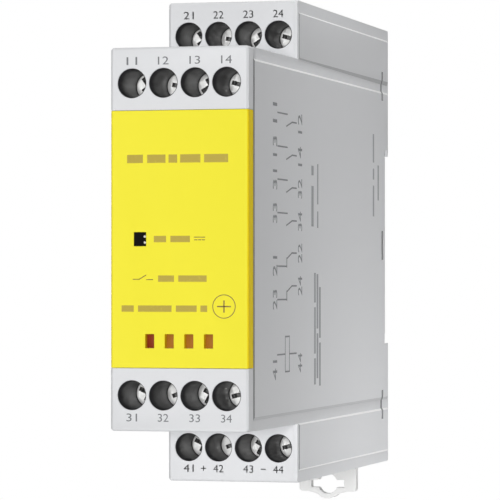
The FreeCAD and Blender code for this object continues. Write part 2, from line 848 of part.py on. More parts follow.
def make_board():
    """The circuit board on the left wall with its capacitor, choke and driver chip."""
    front = front_face + s.plate_wall + s.front_wall + s.board_front
    low_top = front_top - block_inset - s.board_margin
    high_top = rear_top - block_inset - s.board_margin
    rear = -s.rear_wall - s.board_margin
    tier = tier_face + chamber_front
    sheet_x = (board_face - s.board_thickness, board_face)
    middle = rear - s.board_margin * 2 - s.capacitor_radius
    pieces = [
        box("board_front", sheet_x, (front, tier), (-low_top, low_top)),
        box("board_rear", sheet_x, (tier, rear), (-high_top, high_top)),
    ]
    board = fuse("board_sheet", pieces)
    capacitor = cylinder("capacitor", "X", s.capacitor_radius,
                         (board_face, middle, s.capacitor_height), s.capacitor_height)
    choke = box("choke", (board_face, board_face + s.choke_size),
                around(middle, s.choke_size / 2), (-s.choke_size * 2, -s.choke_size))
    chip = box("driver_chip", (board_face, board_face + s.chip_height),
               (front + s.chip_size, front + s.chip_size * 2), around(0, s.chip_size / 2))
    keep(group("board_group", [board, capacitor, choke, chip]), "circuit_board")
    lamp_y = front_face + s.pipe_length + s.root_gap
    lamp = box("lamp_box", (board_face, -s.status_left + s.lamp_size / 2),
               (lamp_y, lamp_y + s.lamp_length), around(0, s.lamp_size / 2))
    keep(lamp, "status_led")


# Relay -----------------------------------------------------------------------------------

relay_rear = -s.relay_rear
relay_front = relay_rear - s.relay_length
relay_top = inner_side - s.relay_clearance
base_top = board_face + s.base_thickness
coil_y = relay_front + s.coil_front
coil_x = base_top + s.flange_size / 2 + s.yoke_thickness * 2
coil_end = s.coil_length / 2
yoke_front = coil_y + s.flange_size / 2 + s.yoke_gap
pivot_y = yoke_front + s.yoke_thickness / 2
pole_top = coil_end + s.pole_rise
pivot_z = pole_top + s.armature_gap
works_half = pivot_z + s.yoke_thickness + s.card_edge
relay_half = works_half + s.relay_room
card_middle = pivot_y + s.card_place
hinge_y = card_middle + s.blade_reach
stand_front = hinge_y + s.root_gap


def make_relay_case():
    """The relay's base with its contact stand, and the cover over the works."""
    base = box("relay_plate", (board_face, base_top), (relay_front, relay_rear),
               (-relay_half, relay_half))
    stand = box("contact_stand", (base_top, relay_top - s.shell_wall * 3),
                (stand_front, stand_front + s.stand_thickness), (-works_half, works_half))
    keep(fuse("relay_base_fuse", [base, stand]), "relay_base")

    body = new_body("relay_cover")
    shell = sketch_on(body, "YZ", base_top)
    rectangle(shell, (relay_front, relay_rear), (-relay_half, relay_half))
    pad(body, shell, relay_top - base_top, 1)
    round_edges(body, s.edge_round, lambda bounds: flat_at(bounds, "X", relay_top))
    inside = sketch_on(body, "YZ", base_top)
    inner_half = relay_half - s.shell_wall
    rectangle(inside, (relay_front + s.shell_wall, relay_rear - s.shell_wall), (-inner_half, inner_half))
    pocket(body, inside, relay_top - base_top - s.shell_wall, 1)


def make_coil():
    """The magnet coil: a bobbin with square cheeks, its winding and the iron core."""
    cheek_x = (base_top, coil_x + s.flange_size / 2)
    cheek_y = (coil_y - s.flange_size / 2, coil_y + s.flange_size / 2)
    cheeks = [
        box("cheek_low", cheek_x, cheek_y, (-coil_end, -coil_end + s.flange_thickness)),
        box("cheek_high", cheek_x, cheek_y, (coil_end - s.flange_thickness, coil_end)),
    ]
    hub_half = s.hub_width / 2
    hub = box("hub", around(coil_x, hub_half), around(coil_y, hub_half), around(0, coil_end))
    solid = fuse("bobbin_solid", cheeks + [hub])
    bore = cylinder("bobbin_bore", "Z", s.core_radius + s.core_play,
                    (coil_x, coil_y, -coil_end), s.coil_length)
    keep(cut("bobbin", solid, bore), "coil_bobbin")
    length = s.coil_length - s.flange_thickness * 2 - s.fit_gap * 2
    start = (coil_x, coil_y, -coil_end + s.flange_thickness + s.fit_gap)
    wound = cylinder("wound", "Z", s.coil_radius, start, length)
    room = hub_half + s.fit_gap
    hollow = box("wound_hollow", around(coil_x, room), around(coil_y, room), around(0, coil_end))
    keep(cut("winding", wound, hollow), "coil_winding")
    foot = -coil_end - s.yoke_gap
    core = cylinder("core", "Z", s.core_radius, (coil_x, coil_y, foot), pole_top - foot)
    keep(core, "coil_core")


def make_yoke():
    """The iron yoke: an angle from the core's foot up beside the coil."""
    body = new_body("yoke")
    foot = -coil_end - s.yoke_gap
    top = pivot_z - s.armature_seat
    rear = yoke_front + s.yoke_thickness
    front = coil_y - s.core_radius * 2
    angle = sketch_on(body, "YZ", base_top)
    polygon(angle, [
        (front, foot - s.yoke_thickness), (rear, foot - s.yoke_thickness), (rear, top),
        (yoke_front, top), (yoke_front, foot), (front, foot),
    ])
    pad(body, angle, coil_x + s.magnet_width / 2 - base_top, 1)


def make_armature():
    """The armature: a plate over the pole with an arm that lifts the contact card."""
    plate = box("armature_plate", (coil_x - s.magnet_width / 2, coil_x + s.magnet_width / 2),
                (pivot_y - s.armature_reach, pivot_y + s.yoke_thickness),
                (pivot_z, pivot_z + s.yoke_thickness))
    arm = box("armature_arm", (coil_x - s.arm_width / 2, coil_x + s.arm_width / 2),
              (pivot_y, pivot_y + s.arm_reach), (pivot_z, pivot_z + s.yoke_thickness))
    keep(fuse("armature_fuse", [plate, arm]), "armature")


def stations():
    """The heights of the three contact stations."""
    return [s.station_pitch * step for step in (-1, 0, 1)]


def blade_places():
    """The places of the two blades of a station across the relay."""
    return [coil_x - s.blade_spacing / 2, coil_x + s.blade_spacing / 2]


def make_card():
    """The contact card: it joins the armature's arm to the blades, so all move together."""
    body = new_body("contact_card")
    left = base_top + s.card_play
    front = card_middle - s.card_thickness / 2
    sheet_outline = sketch_on(body, "XZ", front)
    rectangle(sheet_outline, (left, left + s.card_width), (-works_half, works_half + s.card_play * 2))
    pad(body, sheet_outline, s.card_thickness, 1)
    windows = sketch_on(body, "XZ", front)
    arm_half = s.arm_width / 2 + s.card_play
    rectangle(windows, (coil_x - arm_half, coil_x + arm_half),
              (pivot_z - s.card_play, pivot_z + s.yoke_thickness + s.card_play))
    room = s.blade_thickness / 2 + s.card_play
    wide = s.blade_width / 2 + s.card_play
    for z in stations():
        for x in blade_places():
            rectangle(windows, (x - wide, x + wide), (z - room, z + room))
    pocket(body, windows, s.card_thickness, 1)


def make_blades():
    """Moving blades at each station and the fixed blades that they meet."""
    fixed = []
    contact_y = hinge_y - s.contact_place
    half = s.blade_thickness / 2
    button = s.contact_size / 2
    tip = card_middle - s.card_thickness / 2 - s.blade_tip
    for number, z in enumerate(stations(), 1):
        # The lowest station opens where the others close, so its contacts touch at rest.
        side = -1 if number == 1 else 1
        gap = s.closed_gap if number == 1 else s.open_gap
        start = z + half * side
        meet = start + (s.contact_height + gap) * side
        far = meet + s.contact_height * side
        moving = []
        for index, x in enumerate(blade_places()):
            key = f"{number}_{index}"
            width = around(x, s.blade_width / 2)
            square = (around(x, button), around(contact_y, button))
            blade = box(f"blade_{key}", width, (tip, hinge_y), around(z, half))
            contact = box(f"button_{key}", *square, ordered(start, start + s.contact_height * side))
            moving.append(fuse(f"moving_{key}", [blade, contact]))
            point = box(f"point_{key}", *square, ordered(meet, far))
            arm = box(f"fixed_{key}", width, (contact_y - s.contact_size, stand_front),
                      ordered(far, far + s.blade_thickness * side))
            fixed.append(fuse(f"fixed_pair_{key}", [point, arm]))
        keep(group(f"moving_group_{number}", moving), f"moving_blades_{number}")
    keep(group("fixed_group", fixed), "fixed_blades")


def ordered(first, second):
    """Two sizes in rising order."""
    return (first, second) if first.number < second.number else (second, first)


def write_parts():
    """Check every object and write each sub-part to its own file."""
    doc.recompute()
    for item in doc.Objects:
        if {"Invalid", "Error"} & set(item.State):
            raise RuntimeError(f"{item.Name} failed: {item.State}")
    os.makedirs("parts", exist_ok=True)
    for item in nodes:
        shape = item.Shape
        if shape.isNull() or not shape.isValid():
            raise RuntimeError(f"{item.Label} has no valid shape")
        shape.exportStep(f"parts/{item.Label}.step")
        print(item.Label, len(shape.Solids), round(shape.Volume, 2))


make_housing()
make_cover()
make_front_plate()
make_status_window()
make_latch()
make_latch_spring()
make_terminals()
make_board()
make_relay_case()
make_coil()
make_yoke()
make_armature()
make_card()
make_blades()
write_parts()
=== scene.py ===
"""Safety relay for a mounting rail: finishes, fine pieces, studio and camera."""
import logging
import math
from dataclasses import dataclass, field
from enum import Enum
from functools import cached_property
from typing import Callable, Iterable, Sequence

import bmesh
import bpy
from mathutils import Matrix, Vector


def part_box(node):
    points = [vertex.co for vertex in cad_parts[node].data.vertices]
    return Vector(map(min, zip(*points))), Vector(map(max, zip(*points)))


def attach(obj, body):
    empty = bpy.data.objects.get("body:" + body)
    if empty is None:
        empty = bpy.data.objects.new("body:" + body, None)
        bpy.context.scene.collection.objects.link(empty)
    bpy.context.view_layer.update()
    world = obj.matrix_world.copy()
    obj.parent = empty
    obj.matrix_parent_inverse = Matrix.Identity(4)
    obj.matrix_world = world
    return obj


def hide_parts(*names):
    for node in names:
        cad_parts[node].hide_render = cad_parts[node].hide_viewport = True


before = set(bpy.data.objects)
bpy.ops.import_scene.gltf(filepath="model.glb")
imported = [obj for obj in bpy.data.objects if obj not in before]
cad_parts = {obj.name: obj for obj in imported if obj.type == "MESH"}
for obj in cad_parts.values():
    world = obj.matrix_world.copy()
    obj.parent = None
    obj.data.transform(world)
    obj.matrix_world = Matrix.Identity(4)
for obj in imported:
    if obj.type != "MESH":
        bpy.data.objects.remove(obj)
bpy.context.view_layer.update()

log = logging.getLogger("safety_relay")

MM = 0.001
MERGE_REACH = 1e-7
FLAT_REACH = 1e-8
SEEN_REACH = 1e-6
RING_STEPS = 56
PRINT_RISE = 0.012 * MM
SKIN_DRAW = 0.02 * MM

# Marks stored on the faces of a mesh, which its finish reads.
# Painted shade: faces darkened where shade falls, in the snap windows, under the fields' steps and deep in
# the wells.
SHADE_MARK = "dusty"
# Painted highlight: faces lightened along the steps of the cover's fields.
HIGHLIGHT_MARK = "rubbed"
# Painted shade in the slots and crosses of the screw heads.
RECESS_SHADE_MARK = "recessed"
# Painted side tone: a warmer yellow on the plate's side faces for their look in shade.
SIDE_TONE_MARK = "wrapped"

WHITE = (1.0, 1.0, 1.0)
UP = (0, 0, 1)
ALONG = (0, 1, 0)
TERMINALS = range(1, 5)


# Shader nodes ---------------------------------------------------------------------------


class Signal:
    """A node's output socket that takes part in arithmetic."""

    def __init__(self, graph: "Graph", socket: bpy.types.NodeSocket) -> None:
        """Keep the socket with the graph that its sums are added to."""
        self.graph = graph
        self.socket = socket

    def _sum(self, operation: str, *values: "Signal | float") -> "Signal":
        """Add one Math node over the values."""
        return self.graph.node("ShaderNodeMath", {"operation": operation}, list(values))

    def __add__(self, other: "Signal | float") -> "Signal":
        """Add."""
        return self._sum("ADD", self, other)

    def __sub__(self, other: "Signal | float") -> "Signal":
        """Subtract."""
        return self._sum("SUBTRACT", self, other)

    def __rsub__(self, other: float) -> "Signal":
        """Subtract this from a number."""
        return self._sum("SUBTRACT", other, self)

    def __mul__(self, other: "Signal | float") -> "Signal":
        """Multiply."""
        return self._sum("MULTIPLY", self, other)

    def __truediv__(self, other: "Signal | float") -> "Signal":
        """Divide."""
        return self._sum("DIVIDE", self, other)

    def __pow__(self, other: float) -> "Signal":
        """Raise to a power."""
        return self._sum("POWER", self, other)

    __radd__ = __add__
    __rmul__ = __mul__

    def clipped(self) -> "Signal":
        """Hold the value between 0 and 1."""
        return self.graph.node("ShaderNodeClamp", {}, [self, 0.0, 1.0])

    def fraction(self) -> "Signal":
        """Keep what stands after the point."""
        return self._sum("FRACT", self)

    def between(self, low: float, high: float) -> "Signal":
        """Rise from 0 to 1 as the value goes from low to high.

        Args:
            low: The value that gives 0.
            high: The value that gives 1.

        Returns:
            The clipped ramp.
        """
        return ((self - low) * (1.0 / (high - low))).clipped()


class Graph:
    """The node tree of a material or of the surround."""

    def __init__(self, owner: bpy.types.Material | bpy.types.World) -> None:
        """Start an empty tree.

        Args:
            owner: The material or world that the tree belongs to.
        """
        owner.use_nodes = True
        self.owner = owner
        self.tree = owner.node_tree
        self.tree.nodes.clear()

    @classmethod
    def of_finish(cls, name: str) -> "Graph":
        """Start the tree of a new material, named after its finish."""
        return cls(bpy.data.materials.new(f"{name}_finish"))

    def node(self, kind: str, settings: dict | None = None,
             inputs: "dict | Sequence | None" = None, output: int | str = 0) -> Signal:
        """Add a node.

        Args:
            kind: The node's type.
            settings: Its settings; "stops" sets a ramp's stops.
            inputs: Values or signals by socket name, or in the sockets' order.
            output: The output to give back.

        Returns:
            The chosen output as a signal, or the first input of a node without outputs.
        """
        item = self.tree.nodes.new(kind)
        for key, value in (settings or {}).items():
            if key == "stops":
                self._set_stops(item.color_ramp, value)
            else:
                setattr(item, key, value)
        pairs = inputs.items() if isinstance(inputs, dict) else enumerate(inputs or [])
        for key, value in pairs:
            self.feed(item.inputs[key], value)
        return Signal(self, item.outputs[output] if item.outputs else item.inputs[0])

    @staticmethod
    def _set_stops(ramp: bpy.types.ColorRamp, stops: Sequence[tuple]) -> None:
        """Set the places and colours of a ramp's stops."""
        while len(ramp.elements) < len(stops):
            ramp.elements.new(1.0)
        for element, (place, colour) in zip(ramp.elements, stops):
            element.position = place
            element.color = (*colour, 1.0)

    def feed(self, socket: bpy.types.NodeSocket, value: "Signal | float | tuple") -> None:
        """Link a signal to a socket, or set the socket's own value."""
        if isinstance(value, Signal):
            self.tree.links.new(value.socket, socket)
        elif isinstance(value, tuple) and len(value) == 3 and socket.type == "RGBA":
            socket.default_value = (*value, 1.0)
        else:
            socket.default_value = value

    def place(self) -> Signal:
        """Give the object's own coordinates, in metres."""
        return self.node("ShaderNodeTexCoord", output="Object")

    def axis(self, letter: str) -> Signal:
        """Give one of the object's coordinates, in metres."""
        return self.node("ShaderNodeSeparateXYZ", {}, [self.place()], letter)

    def marked(self, name: str) -> Signal:
        """Give a value stored on the mesh's faces, or 0 where there is none."""
        return self.node("ShaderNodeAttribute", {"attribute_name": name}, output="Fac")

    def noise(self, size: float, detail: float = 3.0, stretch: tuple = (1.0, 1.0, 1.0)) -> Signal:
        """Give even noise about a half.

        Args:
            size: The size of its grains in metres.
            detail: The number of finer layers.
            stretch: How much longer the grains are along X, Y and Z.

        Returns:
            The noise's factor.
        """
        scale = tuple(1.0 / (size * value) for value in stretch)
        place = self.node("ShaderNodeMapping", {}, {"Vector": self.place(), "Scale": scale})
        return self.node("ShaderNodeTexNoise", {}, {"Vector": place, "Scale": 1.0, "Detail": detail})

    def mix(self, factor: "Signal | float", low: "Signal | tuple", high: "Signal | tuple") -> Signal:
        """Mix two colours."""
        return self.node("ShaderNodeMix", {"data_type": "RGBA"}, {0: factor, 6: low, 7: high}, 2)

    def bump(self, height: Signal, distance: float, strength: float = 1.0) -> Signal:
        """Turn a height into a normal."""
        return self.node("ShaderNodeBump", {}, {
            "Height": height, "Distance": distance, "Strength": strength}, "Normal")

    def surface(self, **sockets: "Signal | float | tuple") -> bpy.types.Material:
        """Finish the material with its surface shader.

        Args:
            **sockets: Values or signals by the socket's name with underscores for spaces.

        Returns:
            The finished material.
        """
        named = {name.replace("_", " "): value for name, value in sockets.items()}
        shader = self.node("ShaderNodeBsdfPrincipled", {}, named)
        self.node("ShaderNodeOutputMaterial", {}, {"Surface": shader})
        return self.owner


def linear(red: float, green: float, blue: float) -> tuple[float, float, float]:
    """Turn a colour of 0 to 255 on a screen into light values.

    Args:
        red: The red level.
        green: The green level.
        blue: The blue level.

    Returns:
        The three values of light.
    """
    def one(level: float) -> float:
        """Turn one level."""
        part = level / 255.0
        return part / 12.92 if part <= 0.04045 else ((part + 0.055) / 1.055) ** 2.4

    return one(red), one(green), one(blue)


def shaded(colour: tuple, factor: float) -> tuple[float, float, float]:
    """Make a colour lighter or darker."""
    return tuple(min(1.0, part * factor) for part in colour)


# Finishes -------------------------------------------------------------------------------


@dataclass(frozen=True)
class MouldedPlastic:
    """Moulded plastic with a fine spark-eroded texture and faint flow marks.

    Faces marked with painted shade are darker, those marked with painted highlight lighter, and faces marked
    for a painted side tone take a warmer colour for their look in shade.
    """

    name: str
    colour: tuple
    roughness: float = 0.52
    texture: float = 0.16 * MM
    relief: float = 0.012 * MM
    cloud_size: float = 9.0 * MM
    flow_size: float = 2.4 * MM
    mottle: float = 0.018
    specular: float = 0.22
    coat: float = 0.0
    # How far painted shade darkens and painted highlight lightens the colour.
    shade_factor: float = 0.42
    highlight_factor: float = 1.36
    side_tone: tuple | None = None

    def build(self) -> bpy.types.Material:
        """Make the material."""
        graph = Graph.of_finish(self.name)
        cloud = graph.noise(self.cloud_size, 4.0)
        flow = graph.noise(self.flow_size, 3.0, (1.0, 6.0, 1.0))
        grain = graph.noise(self.texture, 2.0)
        tone = cloud * 0.6 + flow * 0.4
        dull, bright = (shaded(self.colour, 1.0 + self.mottle * way) for way in (-1.0, 1.0))
        colour = graph.mix(tone, dull, bright)
        # Painted shade and painted highlight on the marked faces.
        colour = graph.mix(graph.marked(SHADE_MARK), colour, shaded(self.colour, self.shade_factor))
        colour = graph.mix(graph.marked(HIGHLIGHT_MARK), colour, shaded(self.colour, self.highlight_factor))
        # Painted side tone on the marked side faces.
        if self.side_tone:
            colour = graph.mix(graph.marked(SIDE_TONE_MARK), colour, self.side_tone)
        rough = self.roughness + (cloud - 0.5) * 0.10 + (grain - 0.5) * 0.12
        height = grain * 0.8 + flow * 0.2
        return graph.surface(
            Base_Color=colour, Roughness=rough.clipped(), IOR=1.5, Specular_IOR_Level=self.specular,
            Coat_Weight=self.coat, Coat_Roughness=0.12, Normal=graph.bump(height, self.relief, 0.55))


@dataclass(frozen=True)
class PlatedMetal:
    """Plated metal with tool marks along one direction, a faint haze and painted shade in its recesses."""

    name: str
    colour: tuple
    roughness: float = 0.26
    stretch: tuple = (1.0, 1.0, 1.0)
    tool_mark: float = 0.06 * MM
    cloud_size: float = 1.6 * MM
    relief: float = 0.006 * MM
    haze: float = 0.12
    recess_shade_factor: float = 0.05
    metallic: float = 1.0

    def build(self) -> bpy.types.Material:
        """Make the material."""
        graph = Graph.of_finish(self.name)
        tooling = graph.noise(self.tool_mark, 3.0, self.stretch)
        cloud = graph.noise(self.cloud_size, 4.0)
        colour = graph.mix(cloud, shaded(self.colour, 1.0 - self.haze), self.colour)
        # Painted shade on the faces marked as screw recesses.
        colour = graph.mix(graph.marked(RECESS_SHADE_MARK), colour, shaded(self.colour, self.recess_shade_factor))
        rough = self.roughness + (cloud - 0.5) * 0.16 + (tooling - 0.5) * 0.14
        return graph.surface(
            Base_Color=colour, Metallic=self.metallic, Roughness=rough.clipped(),
            Normal=graph.bump(tooling, self.relief, 0.6))


@dataclass(frozen=True)
class PrintInk:
    """Pad-printed ink, a little uneven where it took less well."""

    name: str
    colour: tuple
    ground: tuple
    patch_size: float = 0.5 * MM
    grain_size: float = 0.12 * MM
    relief: float = 0.004 * MM

    def build(self) -> bpy.types.Material:
        """Make the material."""
        graph = Graph.of_finish(self.name)
        patchy = graph.noise(self.patch_size, 4.0).between(0.60, 0.95)
        colour = graph.mix(patchy * 0.35, self.colour, self.ground)
        grain = graph.noise(self.grain_size, 2.0)
        return graph.surface(
            Base_Color=colour, Roughness=0.5 + (grain - 0.5) * 0.2,
            Normal=graph.bump(grain, self.relief, 0.4))


@dataclass(frozen=True)
class TintedWindow:
    """Dark glossy window over a prism pattern, with small sparks painted as glints on some of its facets."""

    name: str
    colour: tuple
    # The colour of the painted glints.
    spark: tuple = (0.80, 0.76, 0.70)
    facet: float = 0.55 * MM
    relief: float = 0.02 * MM

    def build(self) -> bpy.types.Material:
        """Make the material."""
        graph = Graph.of_finish(self.name)
        scale = (1.0 / self.facet, 0.0, 1.0 / self.facet)
        place = graph.node("ShaderNodeMapping", {}, {"Vector": graph.place(), "Scale": scale})
        cells, edge = (
            graph.node("ShaderNodeTexVoronoi", {"feature": "F1"}, {"Vector": place, "Scale": 1.0}, output)
            for output in ("Color", "Distance"))
        # Painted glints: some facets take the pale spark colour.
        lit = graph.node("ShaderNodeSeparateXYZ", {}, [cells], "X").between(0.80, 0.86)
        colour = graph.mix(lit * (1.0 - edge.between(0.30, 0.50)), self.colour, self.spark)
        return graph.surface(
            Base_Color=colour, Roughness=0.45 + edge * 0.2, Specular_IOR_Level=0.03,
            Normal=graph.bump(edge, self.relief, 0.3))


@dataclass(frozen=True)
class SlotShadeFloor:
    """Amber-brown strips at the bottom of the marker slots, painted with the slots' shade and lighter
    towards their feet.

    The strips run from low to high, and the first one, up to first_end along X, is unlit.
    """

    low: float
    high: float
    first_end: float
    name: str = "slot_painted_shade"
    # Painted shade tones: deep at the tops of the slots, light at their feet, unlit for the first strip.
    deep: tuple = linear(140, 84, 20)
    light: tuple = linear(176, 116, 34)
    unlit: tuple = linear(128, 46, 12)
    streak_size: float = 0.35 * MM
    blend: float = 0.1 * MM

    def build(self) -> bpy.types.Material:
        """Make the material."""
        graph = Graph.of_finish(self.name)
        climb = graph.axis("Z").between(self.low, self.high)
        streak = graph.noise(self.streak_size, 3.0, (1.0, 1.0, 4.0))
        # Painted shade: darker towards each slot's top, and the first strip painted unlit.
        factor = (1.0 - climb) * 0.55 + streak * 0.45
        lit = graph.axis("X").between(self.first_end, self.first_end + self.blend)
        colour = graph.mix(lit, self.unlit, graph.mix(factor, self.deep, self.light))
        return graph.surface(
            Base_Color=colour, Roughness=0.45 + streak * 0.15,
            Specular_IOR_Level=0.15, Normal=graph.bump(streak, 0.01 * MM, 0.3))


@dataclass(frozen=True)
class Laminate:
    """Green circuit board with copper runs under its lacquer and a woven base."""

    name: str
    colour: tuple
    copper: tuple
    run_pitch: float = 1.9 * MM
    wander_size: float = 11.0 * MM
    weave_size: float = 0.25 * MM

    def build(self) -> bpy.types.Material:
        """Make the material."""
        graph = Graph.of_finish(self.name)
        wander = (graph.noise(self.wander_size, 1.0) - 0.5) * 3.0
        wave = (graph.axis("Z") / self.run_pitch + wander).fraction()
        run = wave.between(0.42, 0.46) * (1.0 - wave.between(0.72, 0.76))
        warp = graph.noise(self.weave_size, 2.0, (1.0, 4.0, 1.0))
        weft = graph.noise(self.weave_size, 2.0, (1.0, 1.0, 4.0))
        weave = warp * 0.5 + weft * 0.5
        ground = graph.mix(weave, shaded(self.colour, 0.85), shaded(self.colour, 1.15))
        return graph.surface(
            Base_Color=graph.mix(run * 0.7, ground, self.copper), Roughness=0.28 + weave * 0.12,
            Coat_Weight=0.4, Coat_Roughness=0.15, Normal=graph.bump(run * 0.7 + weave * 0.3, 0.03 * MM, 0.5))


@dataclass(frozen=True)
class EnamelledWire:
    """Copper wire under clear enamel, with each turn a little different."""

    name: str
    colour: tuple

    def build(self) -> bpy.types.Material:
        """Make the material."""
        graph = Graph.of_finish(self.name)
        turns = graph.noise(0.4 * MM, 2.0, (12.0, 12.0, 1.0))
        colour = graph.mix(turns, shaded(self.colour, 0.7), shaded(self.colour, 1.25))
        return graph.surface(
            Base_Color=colour, Metallic=0.85, Roughness=0.22 + turns * 0.18, Coat_Weight=0.6,
            Coat_Roughness=0.1, Normal=graph.bump(turns, 0.02 * MM, 0.4))


@dataclass(frozen=True)
class SmokedCover:
    """Blue-tinted clear cover, its tone and clarity varied by moulding swirls."""

    name: str
    colour: tuple
    opacity: float

    def build(self) -> bpy.types.Material:
        """Make the material."""
        graph = Graph.of_finish(self.name)
        swirl = graph.noise(7.0 * MM, 4.0)
        colour = graph.mix(swirl, shaded(self.colour, 0.8), shaded(self.colour, 1.2))
        return graph.surface(
            Base_Color=colour, Roughness=0.07 + swirl * 0.06, Alpha=self.opacity + swirl * 0.2,
            Normal=graph.bump(swirl, 0.05 * MM, 0.2))


CASE_TONE = linear(223, 224, 226)
YELLOW_TONE = linear(247, 236, 62)


class Finish(Enum):
    """The finishes, each with the values of its material."""

    CASE = MouldedPlastic("case_plastic", CASE_TONE)
    COVER = MouldedPlastic("cover_plastic", CASE_TONE)
    # The plate's side faces take a painted side tone, a warmer yellow for their look in shade.
    PLATE = MouldedPlastic("plate_plastic", YELLOW_TONE, roughness=0.60, mottle=0.012, specular=0.10,
                           side_tone=linear(255, 224, 24))
    LATCH = MouldedPlastic("latch_plastic", linear(229, 229, 228), roughness=0.40)
    BLOCK = MouldedPlastic("block_plastic", linear(30, 30, 32), roughness=0.28, coat=0.35)
    # The sleeves' bores take painted shade, down to this share of their colour deep in the wells.
    SLEEVE = MouldedPlastic("sleeve_plastic", linear(58, 58, 60), roughness=0.42, specular=0.2, shade_factor=0.05)
    RELAY = MouldedPlastic("relay_plastic", linear(45, 46, 50), roughness=0.35)
    CARD = MouldedPlastic("card_plastic", linear(236, 236, 232), roughness=0.38)
    NICKEL = PlatedMetal("screw_nickel", (0.92, 0.92, 0.91), roughness=0.38, haze=0.75, metallic=0.40)
    ZINC = PlatedMetal("cage_zinc", (0.62, 0.63, 0.64), roughness=0.34, stretch=(1.0, 5.0, 1.0))
    TIN = PlatedMetal("bar_tin", (0.76, 0.73, 0.64), roughness=0.30, stretch=(1.0, 1.0, 5.0))
    STEEL = PlatedMetal("spring_steel", (0.58, 0.58, 0.59), roughness=0.22, stretch=(1.0, 1.0, 6.0))
    IRON = PlatedMetal("magnet_iron", (0.50, 0.49, 0.47), roughness=0.32, stretch=(1.0, 6.0, 1.0))
    BRONZE = PlatedMetal("blade_bronze", (0.74, 0.50, 0.28), roughness=0.24, stretch=(1.0, 8.0, 1.0))
    SILVER = PlatedMetal("contact_silver", (0.90, 0.89, 0.86), roughness=0.18)
    GREY_INK = PrintInk("grey_ink", linear(104, 106, 109), CASE_TONE)
    PALE_INK = PrintInk("pale_ink", linear(138, 140, 143), CASE_TONE)
    BROWN_INK = PrintInk("brown_ink", linear(112, 88, 24), YELLOW_TONE)
    OCHRE_INK = PrintInk("ochre_ink", linear(176, 155, 40), YELLOW_TONE)
    WINDOW = TintedWindow("window_dark", (0.006, 0.005, 0.005))
    LAMP = MouldedPlastic("lamp_resin", linear(222, 228, 205), roughness=0.10, coat=0.6)
    BOARD = Laminate("board_green", (0.020, 0.125, 0.050), (0.30, 0.22, 0.06))
    WIRE = EnamelledWire("winding_copper", (0.62, 0.24, 0.10))
    CLEAR = SmokedCover("relay_cover_blue", (0.10, 0.20, 0.42), 0.45)

    def material(self) -> bpy.types.Material:
        """Give the material, made the first time it is asked for."""
        return bpy.data.materials.get(f"{self.value.name}_finish") or self.value.build()


# Meshes ---------------------------------------------------------------------------------


class Face(Enum):
    """The flat outer faces that carry print: across, up and outward directions."""

    FRONT = ((1, 0, 0), (0, 0, 1), (0, -1, 0))
    SIDE = ((0, 1, 0), (0, 0, 1), (1, 0, 0))

    def place(self, origin: Vector) -> Matrix:
        """Give the matrix that lays flat work on this face.

        Args:
            origin: The point of the face where the flat work has its origin.

        Returns:
            The matrix.
        """
        across, up, out = (Vector(part) for part in self.value)
        matrix = Matrix((across, up, out)).transposed().to_4x4()
        matrix.translation = origin
        return matrix


@dataclass
class Piece:
    """A new piece: its mesh under way, and what it stands on and for."""

    name: str
    finish: Finish
    slot: str
    body: str = "housing"
    stands_for: tuple[str, ...] = ()
    smooth_angle: float = 32.0
    mesh: bmesh.types.BMesh = field(default_factory=bmesh.new)

    def done(self, recalculate: bool = True) -> bpy.types.Object:
        """Turn the mesh into an object that rides on its body.

        Args:
            recalculate: Whether to turn all faces outwards.

        Returns:
            The object.
        """
        if recalculate:
            bmesh.ops.recalc_face_normals(self.mesh, faces=self.mesh.faces)
        data = bpy.data.meshes.new(self.name)
        self.mesh.to_mesh(data)
        self.mesh.free()
        for polygon in data.polygons:
            polygon.use_smooth = True
        data.set_sharp_from_angle(angle=math.radians(self.smooth_angle))
        item = bpy.data.objects.new(self.name, data)
        bpy.context.scene.collection.objects.link(item)
        data.materials.append(self.finish.material())
        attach(item, self.body)
        if self.stands_for:
            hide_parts(*self.stands_for)
        log.info("%s: %d faces on %s", self.name, len(data.polygons), self.body)
        return item


def dress(finish: Finish, *names: str) -> None:
    """Give CAD nodes a finish.

    Args:
        finish: The finish.
        *names: The nodes.
    """
    for name in names:
        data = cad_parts[name].data
        data.materials.clear()
        data.materials.append(finish.material())
        log.info("%s: dressed in %s", name, finish.value.name)


def middle(node: str) -> Vector:
    """Give the middle of a node's box."""
    low, high = (Vector(corner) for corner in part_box(node))
    return (low + high) / 2


def eased_copy(node: str, finish: Finish, slot: str, body: str = "housing", ease: float = 0.08 * MM,
               adjust: Callable[[bmesh.types.BMesh], None] | None = None) -> bpy.types.Object:
    """Copy a CAD node with its points merged, its sharp edges eased and its curves smooth.

    Args:
        node: The CAD node that the copy stands for.
        finish: The copy's finish.
        slot: The record's material slot; not used.
        body: The body it rides on.
        ease: The width of the eased edges; 0 leaves them sharp.
        adjust: A last change to the merged mesh.

    Returns:
        The object.
    """
    piece = Piece(f"{node}_eased", finish, slot, body, (node,))
    piece.mesh.from_mesh(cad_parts[node].data)
    bmesh.ops.remove_doubles(piece.mesh, verts=piece.mesh.verts, dist=MERGE_REACH)
    bmesh.ops.dissolve_limit(piece.mesh, angle_limit=math.radians(0.4), use_dissolve_boundaries=False,
                             verts=piece.mesh.verts, edges=piece.mesh.edges)
    if adjust:
        adjust(piece.mesh)
    item = piece.done(recalculate=False)
    if ease:
        bevel = item.modifiers.new("eased_edges", "BEVEL")
        bevel.width = ease
        bevel.segments = 2
        bevel.limit_method = "ANGLE"
        bevel.angle_limit = math.radians(35.0)
        bevel.use_clamp_overlap = True
        bevel.harden_normals = True
    return item


def made_verts(made: dict) -> list[bmesh.types.BMVert]:
    """Pick the points out of what an operator made."""
    return [item for item in made["geom"] if isinstance(item, bmesh.types.BMVert)]


